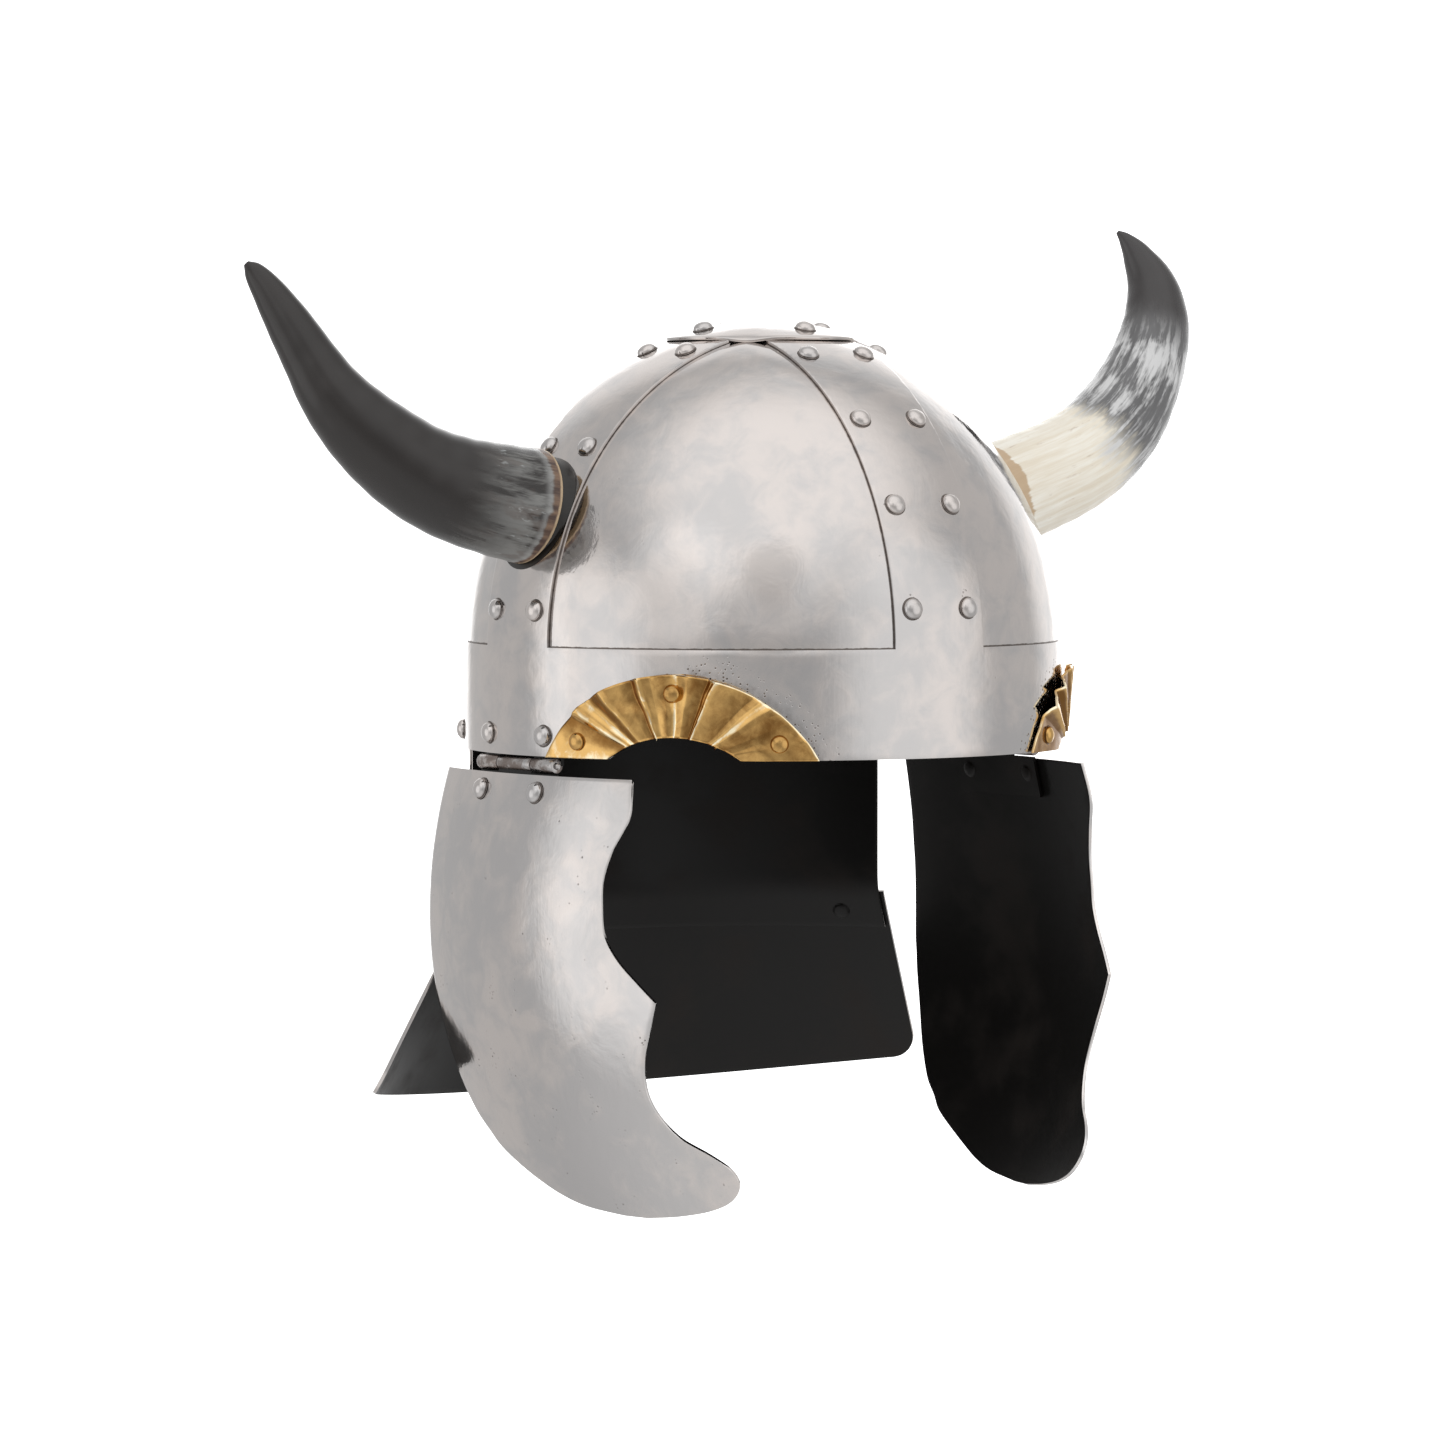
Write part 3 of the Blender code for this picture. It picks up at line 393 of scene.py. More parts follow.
# %% Horn
def make_dark_horn():
    """Near black horn with grey blotches and a brown rim at its cut end."""
    material, graph, surface = new_material("dark horn", Coat_Weight=0.12, Coat_Roughness=0.10)
    grain = graph.attribute("grain", "Vector")
    reach = graph.attribute("reach")
    fibres = graph.clouds(graph.stretched(grain, (300.0, 300.0, 30.0)), 1.0, 4.0, 0.6)
    blotches = graph.clouds(graph.stretched(grain, (85.0, 85.0, 38.0)), 1.0, 4.0, 0.65, 0.5)
    deep = graph.mix(blotches, (0.010, 0.0078, 0.0068, 1.0), (0.021, 0.016, 0.014, 1.0))
    base = 1.0 - (reach + (blotches - 0.5) * 0.18).rise(0.06, 0.24)
    pale = (blotches * 0.75 + fibres * 0.65 - 0.58).rise(0.0, 0.22) * base
    colour = graph.mix(pale * 0.9, deep, (0.245, 0.245, 0.235, 1.0))
    warm = graph.clouds(graph.stretched(grain, (130.0, 130.0, 60.0)), 1.0, 3.0, 0.6).rise(0.54, 0.64) * base
    colour = graph.mix(warm * 0.45, colour, (0.085, 0.055, 0.042, 1.0))
    flecks = graph.clouds(graph.stretched(grain, (200.0, 200.0, 70.0)), 1.0, 4.0, 0.7).rise(0.60, 0.68) * base
    colour = graph.mix(flecks * 0.8, colour, (0.50, 0.53, 0.53, 1.0))
    nicks = graph.clouds(graph.stretched(grain, (110.0, 110.0, 80.0)), 1.0, 5.0, 0.8).rise(0.74, 0.78)
    colour = graph.mix(nicks * (1.0 - reach.rise(0.45, 0.60)) * 0.7, colour, (0.42, 0.40, 0.40, 1.0))
    ragged = reach + (fibres - 0.5) * 0.020 + (blotches - 0.5) * 0.036
    rim = 1.0 - ragged.rise(0.016, 0.026)
    halo = ragged.rise(0.012, 0.024) * (1.0 - ragged.rise(0.026, 0.044))
    colour = graph.mix(halo * 0.30, colour, (0.55, 0.55, 0.54, 1.0))
    brown = graph.mix(fibres.rise(0.35, 0.65), (0.060, 0.032, 0.024, 1.0), (0.24, 0.150, 0.095, 1.0))
    colour = graph.mix(rim, colour, brown)
    edge = 1.0 - (reach + (fibres - 0.5) * 0.008).rise(0.002, 0.007)
    colour = graph.mix(edge, colour, (0.50, 0.37, 0.23, 1.0))
    graph.feed(surface.inputs["Base Color"], colour)
    graph.feed(surface.inputs["Roughness"], 0.23 + pale * 0.15 + rim * 0.2)
    graph.feed(surface.inputs["Normal"], graph.bump(fibres * 0.4 + flecks * 0.4 - rim * 0.6, 0.0002, 0.5))
    return material


def make_pale_horn():
    """Cream horn that turns grey with white flakes and ends in a dark tip."""
    material, graph, surface = new_material("pale horn", Coat_Weight=0.25, Coat_Roughness=0.15)
    grain = graph.attribute("grain", "Vector")
    reach = graph.attribute("reach")
    fibres = graph.clouds(graph.stretched(grain, (420.0, 420.0, 22.0)), 1.0, 4.0, 0.65)
    patches = graph.clouds(graph.stretched(grain, (90.0, 90.0, 34.0)), 1.0, 4.0, 0.6, 0.3)
    broad = graph.clouds(graph.stretched(grain, (40.0, 40.0, 14.0)), 1.0, 2.0, 0.5)
    cream = graph.mix(fibres.rise(0.30, 0.70), (0.82, 0.74, 0.60, 1.0), (0.96, 0.93, 0.84, 1.0))
    specks = graph.clouds(graph.stretched(grain, (500.0, 500.0, 110.0)), 1.0, 3.0, 0.7).rise(0.64, 0.74)
    cream = graph.mix(specks * 0.5, cream, (0.50, 0.38, 0.29, 1.0))
    grey = graph.mix(fibres, (0.060, 0.058, 0.058, 1.0), (0.20, 0.200, 0.205, 1.0))
    flakes = (patches * 0.9 + fibres * 0.75 - 0.70).rise(0.05, 0.24) * (1.0 - reach.rise(0.60, 0.82))
    body = graph.mix(flakes, grey, (0.66, 0.66, 0.66, 1.0))
    turn = (reach + (patches - 0.5) * 0.26 + (fibres - 0.5) * 0.20 + (broad - 0.5) * 0.12).rise(0.27, 0.38)
    colour = graph.mix(turn, cream, body)
    tip = (reach + (patches - 0.5) * 0.16 + (fibres - 0.5) * 0.10).rise(0.66, 0.78)
    colour = graph.mix(tip, colour, (0.034, 0.030, 0.030, 1.0))
    rim = 1.0 - (reach + (fibres - 0.5) * 0.030 + (patches - 0.5) * 0.030).rise(0.034, 0.042)
    tan = graph.mix(fibres, (0.50, 0.35, 0.21, 1.0), (0.66, 0.50, 0.33, 1.0))
    colour = graph.mix(rim, colour, tan)
    graph.feed(surface.inputs["Base Color"], colour)
    graph.feed(surface.inputs["Roughness"], 0.42 - turn * 0.16 + flakes * 0.1)
    height = fibres * 0.7 + flakes * turn * 0.5 - rim * 0.7
    graph.feed(surface.inputs["Normal"], graph.bump(height, 0.0003, 0.5))
    return material


def make_bore():
    """The raw wall inside a horn's cut end."""
    material, _, surface = new_material("raw horn", Roughness=0.7)
    surface.inputs["Base Color"].default_value = (0.10, 0.07, 0.05, 1.0)
    return material


dark_horn = make_dark_horn()
pale_horn = make_pale_horn()
raw_horn = make_bore()
print("Horns:", dark_horn.name, pale_horn.name, raw_horn.name)

# %% [markdown]
# ## Building pieces
# Sheet pieces are made as one open surface on the outer face. A Solidify gives them their thickness inwards,
# with the second material on the inside, and a narrow Bevel makes the cut edges catch the light.


# %% Building pieces
made_pieces = []


def finish_piece(name, builder, materials, body, slot, nodes, smooth_angle=35.0):
    """Turn a bmesh into a finished piece that rides on a body and stands for CAD nodes."""
    name = name.replace(" ", "_")
    mesh = bpy.data.meshes.new(name)
    builder.to_mesh(mesh)
    builder.free()
    for material in materials:
        mesh.materials.append(material)
    item = bpy.data.objects.new(name, mesh)
    bpy.context.scene.collection.objects.link(item)
    mesh.shade_smooth()
    if smooth_angle is not None:
        mesh.set_sharp_from_angle(angle=math.radians(smooth_angle))
    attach(item, body)
    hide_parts(*nodes)
    made_pieces.append(item)
    return item


def add_thickness(item, thickness, edge=0.3 * MM, rim=0):
    """Sheet thickness inwards, and a narrow rounding along the cut edges."""
    sheet = item.modifiers.new("sheet", "SOLIDIFY")
    sheet.thickness = thickness
    sheet.offset = -1.0
    sheet.use_even_offset = True
    sheet.material_offset = 1
    sheet.material_offset_rim = rim
    rounding = item.modifiers.new("edges", "BEVEL")
    rounding.width = edge
    rounding.segments = 2
    rounding.limit_method = "ANGLE"
    rounding.angle_limit = math.radians(50.0)
    rounding.harden_normals = False


def face_outwards(builder, outward):
    """Turn each face so that its normal agrees with outward(place)."""
    builder.normal_update()
    wrong = [face for face in builder.faces if face.normal.dot(outward(face.calc_center_median())) < 0.0]
    bmesh.ops.reverse_faces(builder, faces=wrong)


def turned_sheet(points, start, turn, steps):
    """Turn a chain of (radius, height) points about Z from a bearing, through an angle in degrees."""
    builder = bmesh.new()
    ray = direction(start)
    row = [builder.verts.new(ray * radius + Vector((0.0, 0.0, height))) for radius, height in points]
    edges = [builder.edges.new(pair) for pair in zip(row, row[1:])]
    bmesh.ops.spin(
        builder, geom=row + edges, cent=(0.0, 0.0, 0.0), axis=(0.0, 0.0, 1.0),
        angle=math.radians(turn), steps=steps, use_merge=turn >= 360.0,
    )
    bmesh.ops.remove_doubles(builder, verts=builder.verts, dist=0.00001)
    return builder


def cut_along(builder, point, normal, keep_inner=False):
    """Add edges where a plane crosses the surface, and drop what lies on its outer side if asked."""
    geometry = builder.verts[:] + builder.edges[:] + builder.faces[:]
    bmesh.ops.bisect_plane(
        builder, geom=geometry, dist=0.000001, plane_co=point, plane_no=normal, clear_outer=keep_inner)


def grid_sheet(rows):
    """A surface through rows of points."""
    builder = bmesh.new()
    lines = [[builder.verts.new(point) for point in row] for row in rows]
    for low, high in zip(lines, lines[1:]):
        for index in range(len(low) - 1):
            builder.faces.new((low[index], low[index + 1], high[index + 1], high[index]))
    return builder


def sway(place, scale, seed):
    """Smooth noise from -1 to 1 at a place."""
    return noise.noise(place * scale + Vector((seed * 7.3, seed * 3.1, seed * 5.7)))


def store_grime_shade_and_highlight(item, values):
    """Store a value from 0 to 1 for each vertex as the attribute that the steel and brass darken by, as dirt, tarnish
    and painted shade; the brow plates also store values below 0, which paint a highlight on the brass.
    """
    layer = item.data.attributes.new("grime_shade_and_highlight", "FLOAT", "POINT")
    layer.data.foreach_set("value", values)


def paint_grime_and_shade(item, measure):
    """Store measure(place) for each vertex as the attribute of dirt and painted shade."""
    store_grime_shade_and_highlight(item, [measure(vertex.co) for vertex in item.data.vertices])


# %% [markdown]
# ## Rivet heads
# Each head is a dome that turns under at its rim, knocked flat here and there by the hammer. A thin skirt lies
# on the plate round its foot, darkened as dirt and as painted contact shade where the head meets the plate.


# %% Rivet heads
RIVET_SIDES = 28
RIVET_RINGS = 8
# Lift and width of the skirt that paints dirt and contact shade round each head's foot
GRIME_SHADE_LIFT = 0.16 * MM
GRIME_SHADE_RING = 0.42 * MM


def add_rivet(builder, seat, normal, seed, radius=RIVET_RADIUS, height=RIVET_HEIGHT, blows=5, material=0):
    """Add one hammered head to a bmesh."""
    chance = random.Random(seed)
    head = bmesh.new()
    points = []
    for ring in range(RIVET_RINGS + 1):
        angle = math.pi / 2.0 * ring / RIVET_RINGS
        points.append((radius * math.sin(angle) ** 0.92, 0.18 * height + 0.82 * height * math.cos(angle)))
    # The last three points make the skirt, darkened as dirt and as painted contact shade
    points.append((radius * 0.98, GRIME_SHADE_LIFT * 1.6))
    points.append((radius + GRIME_SHADE_RING * 0.8, GRIME_SHADE_LIFT))
    points.append((radius + GRIME_SHADE_RING, 0.0))
    row = [head.verts.new(Vector((x, 0.0, z))) for x, z in points]
    edges = [head.edges.new(pair) for pair in zip(row, row[1:])]
    bmesh.ops.spin(
        head, geom=row + edges, cent=(0.0, 0.0, 0.0), axis=(0.0, 0.0, 1.0),
        angle=math.tau, steps=RIVET_SIDES, use_merge=True,
    )
    bmesh.ops.remove_doubles(head, verts=head.verts, dist=0.000005)
    for _ in range(blows):
        turn = chance.uniform(0.0, math.tau)
        lean = math.radians(chance.uniform(12.0, 58.0))
        face = Vector((math.cos(turn) * math.sin(lean), math.sin(turn) * math.sin(lean), math.cos(lean)))
        reach = max(vertex.co.dot(face) for vertex in head.verts) - chance.uniform(0.05, 0.14) * MM
        for vertex in head.verts:
            over = vertex.co.dot(face) - reach
            if over > 0.0 and vertex.co.z > 2.0 * GRIME_SHADE_LIFT:
                vertex.co -= face * over * 0.8
    wobble = chance.uniform(0.0, 100.0)
    for vertex in head.verts:
        swell = 1.0 + 0.04 * noise.noise(vertex.co * 220.0 + Vector((wobble, 0.0, 0.0)))
        vertex.co.x *= swell
        vertex.co.y *= swell
    lean_to = (normal + Vector([chance.uniform(-0.012, 0.012) for _ in range(3)])).normalized()
    turn = Vector((0.0, 0.0, 1.0)).rotation_difference(lean_to).to_matrix().to_4x4()
    bmesh.ops.transform(head, matrix=Matrix.Translation(seat) @ turn, verts=head.verts)
    face_outwards(head, lambda place: place - (seat - normal * radius))
    copied = bpy.data.meshes.new("rivet")
    head.to_mesh(copied)
    head.free()
    before = len(builder.faces)
    builder.from_mesh(copied)
    bpy.data.meshes.remove(copied)
    builder.faces.ensure_lookup_table()
    for face in builder.faces[before:]:
        face.material_index = material
    return seat


def rivet_grime_and_shade(seats, head=0.0):
    """A measure of dirt and painted contact shade that is full on the skirt round each of the heads on the seats."""
    def measure(place):
        seat, normal = min(seats, key=lambda pair: (place - pair[0]).length)
        height = (place - seat).dot(normal)
        return 1.0 if (place - seat).length < 6.0 * MM and height < 2.0 * GRIME_SHADE_LIFT else head
    return measure


FRONT_RIVET_ANGLES = (7.0, 26.0, 44.5, 64.5)
SIDE_RIVET_ANGLES = (6.5, 38.0, 66.0)
RIVET_OFFSET = 12.0 * MM
DISC_RIVET_RADIUS = 26.0 * MM
strap_rivets = []
straps = (
    ("front", 0.0, FRONT_RIVET_ANGLES), ("rear", 180.0, FRONT_RIVET_ANGLES),
    ("right", -90.0, SIDE_RIVET_ANGLES), ("left", 90.0, SIDE_RIVET_ANGLES),
)
for strap, bearing, angles in straps:
    for level, angle in enumerate(angles):
        for column, across in enumerate((-RIVET_OFFSET, RIVET_OFFSET)):
            seat, normal = strap_seat(across, angle, bearing)
            strap_rivets.append(("rivet_%s_%d_%d" % (strap, level, column), seat, normal))
    lift = SEAT_GAP + SHEET
    angle = math.degrees(math.acos(DISC_RIVET_RADIUS / (BAND_RADIUS + lift)))
    seat, normal = strap_seat(0.0, angle, bearing, lift)
    strap_rivets.append(("rivet_disc_" + strap, seat, normal))
for seed, (name, seat, normal) in enumerate(strap_rivets):
    builder = bmesh.new()
    add_rivet(builder, seat, normal, seed + 1)
    head = finish_piece("head of " + name, builder, [rivet_steel], "helmet", "polished_steel", [name], 50.0)
    paint_grime_and_shade(head, rivet_grime_and_shade([(seat, normal)]))
print("Rivet heads:", len(strap_rivets))

# %% [markdown]
# ## Brow band and straps
# The frame is one turned shell. Planes mark the straps' edges, the four windows are removed, and the band's
# lower edge rises over the eyes.

# %% Brow band and straps
DOME_STEPS = 432
DOME_ROWS = 60
BAND_ROWS = 12
EYE_BEARING = 52.1
EYE_HALF_WIDTH = 24.5 * MM
EYE_RISE = 8.4 * MM


def dome_profile(depth, low, band_rows):
    """(radius, height) points from the crown down to a height under the band's top."""
    points = [dome_point(math.radians(90.0 - 90.0 * row / DOME_ROWS), depth) for row in range(DOME_ROWS + 1)]
    points[0] = (0.0, points[0][1])
    for row in range(1, band_rows + 1):
        points.append((BAND_RADIUS - depth, BAND_HEIGHT + (low - BAND_HEIGHT) * row / band_rows))
    return points


def bearing_of(place):
    """Bearing in degrees of a place, from -180 to 180."""
    return math.degrees(math.atan2(place.x, -place.y))


def eye_arch_height(place):
    """How far the band's lower edge stands above its usual place."""
    depth, radius = circle_through(EYE_HALF_WIDTH, EYE_RISE)
    along = math.radians(abs(bearing_of(place)) - EYE_BEARING) * BAND_RADIUS
    if abs(along) >= EYE_HALF_WIDTH:
        return 0.0
    return math.sqrt(radius ** 2 - along ** 2) - depth


builder = turned_sheet(dome_profile(0.0, 0.0, BAND_ROWS), 0.0, 360.0, DOME_STEPS)
near = STRAP_WIDTH / 2.0
for edge in (-near, near):
    cut_along(builder, (edge, 0.0, 0.0), (1.0, 0.0, 0.0))
    cut_along(builder, (0.0, edge, 0.0), (0.0, 1.0, 0.0))
half_turn = math.degrees(EYE_HALF_WIDTH / BAND_RADIUS)
for corner in (EYE_BEARING - half_turn, EYE_BEARING + half_turn):
    for side in (-1.0, 1.0):
        ray = direction(side * corner)
        cut_along(builder, (0.0, 0.0, 0.0), (-ray.y, ray.x, 0.0))
windows = []
for face in builder.faces:
    middle = face.calc_center_median()
    if abs(middle.x) > near and abs(middle.y) > near and middle.z > BAND_HEIGHT:
        windows.append(face)
bmesh.ops.delete(builder, geom=windows, context="FACES")
for vertex in builder.verts:
    if vertex.co.z < BAND_HEIGHT - 0.00001:
        rise = eye_arch_height(vertex.co)
        vertex.co.z = rise + vertex.co.z * (BAND_HEIGHT - rise) / BAND_HEIGHT
face_outwards(builder, dome_normal)
for vertex in builder.verts:
    vertex.co += dome_normal(vertex.co) * 0.12 * MM * sway(vertex.co, 22.0, 1.0)
frame_piece = finish_piece(
    "brow band and straps", builder, [steel, black_paint], "helmet", "polished_steel", ["dome_frame"], 30.0)
print("Frame faces:", len(frame_piece.data.polygons), "windows removed:", len(windows))

# %% [markdown]
# ## Dome panels
# Four panels lie behind the frame. Soft dents press them in a little, as hand-raised sheet is.

# %% Dome panels
PANEL_STEPS = 108
quarters = (
    ("front_right", -90.0, -1.0, -1.0), ("front_left", 0.0, 1.0, -1.0),
    ("rear_left", 90.0, 1.0, 1.0), ("rear_right", 180.0, -1.0, 1.0),
)
APEX_RAISE = 0.8 * MM
APEX_RAMP = 7.0 * MM
APEX_REACH = 30.0 * MM
TIGHT_SEAT = 0.27 * MM
DENT_RAMP = 14.0 * MM
panel_pieces = []


def beaten_out(place, dent):
    """How far a panel stands out: tight on the frame along its edges, dented inside, raised at its apex."""
    from_strap = min(abs(place.x), abs(place.y)) - STRAP_WIDTH / 2.0
    from_disc = math.hypot(place.x, place.y) - DISC_RADIUS
    near = max(0.0, min(1.0, 1.0 - from_disc / APEX_REACH))
    apex = APEX_RAISE * max(0.0, min(1.0, from_strap / APEX_RAMP)) * near * near * (3.0 - 2.0 * near)
    loose = max(0.0, min(1.0, min(from_strap, place.z - BAND_HEIGHT) / DENT_RAMP))
    return TIGHT_SEAT + apex - dent * loose * loose * (3.0 - 2.0 * loose)


for seed, (name, start, x_side, y_side) in enumerate(quarters):
    builder = turned_sheet(dome_profile(PANEL_DEPTH, BAND_HEIGHT - PANEL_LAP, 4), start, 90.0, PANEL_STEPS)
    for side, axis in ((x_side, Vector((1.0, 0.0, 0.0))), (y_side, Vector((0.0, 1.0, 0.0)))):
        cut_along(builder, axis * side * PANEL_PARTING / 2.0, axis * -side, keep_inner=True)
    face_outwards(builder, dome_normal)
    for vertex in builder.verts:
        dent = 0.5 + 0.5 * sway(vertex.co, 26.0, 11.0 + seed)
        ripple = 0.5 + 0.5 * sway(vertex.co, 70.0, 17.0 + seed)
        vertex.co += dome_normal(vertex.co) * beaten_out(vertex.co, (0.55 * dent + 0.05 * ripple) * MM)
    panel = finish_piece(
        "dome panel " + name.replace("_", " "), builder, [panel_steel, black_paint], "helmet", "polished_steel",
        ["dome_panel_" + name], 30.0)
    panel_pieces.append(panel)
print("Panels:", [len(panel.data.polygons) for panel in panel_pieces])

# %% [markdown]
# ## Crown disc
# The disc over the crossing is a shallow dish with a rim that isn't quite round or quite down.

# %% Crown disc
DISC_STEPS = 160
DISC_ROWS = 16
DISC_SAG = 1.2 * MM
DISC_SAG_SPREAD = 20.0
DISC_PRESS = 0.08 * MM
disc_lift = SEAT_GAP + SHEET
rim_angle = math.acos(DISC_RADIUS / (BAND_RADIUS + disc_lift))
points = []
for row in range(DISC_ROWS + 1):
    points.append(dome_point(math.pi / 2.0 + (rim_angle - math.pi / 2.0) * row / DISC_ROWS, -disc_lift))
points[0] = (0.0, points[0][1])
builder = turned_sheet(points, 0.0, 360.0, DISC_STEPS)
face_outwards(builder, dome_normal)
for vertex in builder.verts:
    out = Vector((vertex.co.x, vertex.co.y, 0.0))
    share = out.length / DISC_RADIUS
    bearing = math.atan2(out.x, -out.y)
    wave = math.sin(bearing * 5.0 + 0.6) + 0.6 * math.sin(bearing * 11.0 + 2.0)
    vertex.co -= dome_normal(vertex.co) * DISC_PRESS * share ** 10 * (1.0 + 0.4 * wave)
    vertex.co += out * 0.008 * share ** 4 * math.sin(bearing * 3.0 + 1.0)
    from_window = abs(math.degrees(bearing) % 90.0 - 45.0)
    sag = math.cos(math.pi / 2.0 * min(1.0, from_window / DISC_SAG_SPREAD)) ** 2
    vertex.co -= dome_normal(vertex.co) * DISC_SAG * share ** 8 * sag
disc = finish_piece("crown disc", builder, [steel, steel], "helmet", "polished_steel", ["crown_disc"], 30.0)
print("Disc faces:", len(disc.data.polygons))

# %% [markdown]
# ## Brow plates
# Each brass plate is an arch on the band, beaten into creases that spread like a fan and pulled down flat
# round its rivets. The table holds the share of the arch at which each crease lies, from the foot beside the
# cheek plate to the foot at the front, how high it stands at the outer edge, and how brown it is; below 0 that
# value paints a cream highlight on the crease instead of brown.

# %% Brow plates
BROW_HALF_WIDTH = 50.5 * MM
BROW_RISE = 29.5 * MM
BRASS_SHEET = 0.8 * MM
BROW_ROWS = 26
BROW_COLUMNS = 260
BROW_RIVET_RADIUS = 3.1 * MM
BROW_RIVET_HEIGHT = 2.2 * MM
BROW_INNER_SPREAD = 0.36
BROW_OVERHANG = -0.025
BROW_DIMPLE = 5.2 * MM
BROW_BEATING = 0.36 * MM
# Third value: brownness; below 0, the strength of a painted highlight
REAR_FOLDS = (
    (-1.00, 1.2, -0.8), (-0.88, 0.9, -0.3), (-0.79, 1.2, 0.5), (-0.70, 0.8, 0.9), (-0.65, 2.6, -0.9),
    (-0.61, 3.0, 0.2), (-0.555, 1.8, -1.0), (-0.525, 1.3, 0.8), (-0.47, 2.8, 0.8), (-0.445, 3.6, -0.4),
    (-0.41, 3.4, 0.2), (-0.33, 2.4, 0.2), (-0.25, 1.1, 0.8), (-0.215, 3.0, 0.6), (-0.20, 3.6, -0.9),
    (-0.175, 2.8, 0.3), (-0.13, 1.8, 0.0), (-0.05, 2.8, 0.5), (0.00, 1.4, 0.1), (0.03, 1.2, -1.0),
)
FRONT_FOLDS = {
    "right": (
        (0.05, 1.8, 0.3), (0.114, 3.4, 0.2), (0.15, 2.8, 0.5), (0.215, 0.9, 0.7), (0.24, 2.6, 0.2),
        (0.262, 4.4, -1.0), (0.29, 4.0, 0.2), (0.38, 2.6, 0.3), (0.48, 1.0, 0.6), (0.525, 1.8, 0.2),
        (0.56, 2.8, -1.0), (0.60, 3.6, 0.2), (0.64, 3.6, 0.4), (0.73, 1.5, 0.6), (0.80, 1.8, 0.4),
        (0.87, 2.6, 0.4), (1.00, 0.6, 0.2),
    ),
    "left": (
        (0.12, 2.6, 0.7), (0.20, 3.2, 0.1), (0.26, 1.6, 0.9), (0.335, 0.6, 1.1), (0.40, 2.2, 0.8),
        (0.477, 3.8, -0.5), (0.495, 3.0, 0.8), (0.52, 0.9, 1.1), (0.575, 2.0, 0.8), (0.667, 3.8, -0.5),
        (0.70, 1.8, 0.7), (0.745, 0.3, 1.0), (0.85, 0.5, 0.7), (1.00, 0.0, 0.6),
    ),
}
BROW_RIVET_GRIME = 0.18
CREASE_ROUNDING = 0.60
CREASE_WANDER = 0.022
BROW_RIVETS = ((-0.85, 0.65), (0.0, 0.69), (0.85, 0.65))


def brow_point(side, share, out_share, lift):
    """A point over the band: share runs along the arch from -1 to 1, out_share from the inner arc out."""
    inner_depth, inner_radius = circle_through(EYE_HALF_WIDTH, EYE_RISE)
    outer_depth, outer_radius = circle_through(BROW_HALF_WIDTH, BROW_RISE)
    inner_angle = share * math.acos(inner_depth / inner_radius)
    outer_angle = share * math.acos(outer_depth / outer_radius)
    along = (1.0 - out_share) * inner_radius * math.sin(inner_angle) + out_share * outer_radius * math.sin(outer_angle)
    inner_height = inner_radius * math.cos(inner_angle) - inner_depth
    outer_height = outer_radius * math.cos(outer_angle) - outer_depth
    height = (1.0 - out_share) * inner_height + out_share * outer_height
    bearing = side * (EYE_BEARING - math.degrees(along / BAND_RADIUS))
    return direction(bearing) * (BAND_RADIUS + lift) + Vector((0.0, 0.0, height))


def fold_at(folds, share):
    """Height in metres and brownness of the folds at a share of the arch; brownness below 0 is a painted highlight."""
    index = max(0, min(len(folds) - 2, bisect_right([fold[0] for fold in folds], share) - 1))
    start, low, low_tarnish_highlight = folds[index]
    end, high, high_tarnish_highlight = folds[index + 1]
    part = max(0.0, min(1.0, (share - start) / (end - start)))
    eased = part + CREASE_ROUNDING * (part * part * (3.0 - 2.0 * part) - part)
    return (low + (high - low) * eased) * MM, low_tarnish_highlight + (high_tarnish_highlight - low_tarnish_highlight) * part


def wandering_share(side, share, out_share):
    """The share of the crease table that a place on the arch takes: the creases aren't quite straight."""
    drift = sway(Vector((share * 3.0, out_share * 2.2, side)), 1.0, 61.0 + side)
    return share + CREASE_WANDER * drift * (1.0 - abs(share))


def brow_surface(folds, side, share, out_share, rivets):
    """A point on the outer face of a brow plate and its brownness, below 0 for a painted highlight, with folds, dimples
    and beating.
    """
    flat = brow_point(side, share, out_share, 0.0)
    closest = min((flat - rivet).length for rivet in rivets)
    fold, brown = fold_at(folds, wandering_share(side, share, out_share))
    stand = fold * (BROW_INNER_SPREAD + (1.0 - BROW_INNER_SPREAD) * out_share)
    stand += BROW_BEATING * (1.0 + sway(flat, 95.0, 51.0 + side)) + 0.6 * BROW_BEATING * sway(flat, 210.0, 57.0 + side)
    stand *= 1.0 - math.exp(-(closest / BROW_DIMPLE) ** 2)
    # Painted highlights are strongest at the inner edge and weaker outwards
    brown = brown if brown > 0.0 else brown * (0.75 + 0.25 * math.cos(4.0 * out_share))
    # A painted highlight line along the outer edge of the front half
    painted_highlight = 1.2 * math.exp(-((out_share - 1.0) / 0.03) ** 2) * max(0.0, math.sin(2.4 * share))
    return brow_point(side, share, out_share, SEAT_GAP + BRASS_SHEET + stand), brown * 0.8 - painted_highlight


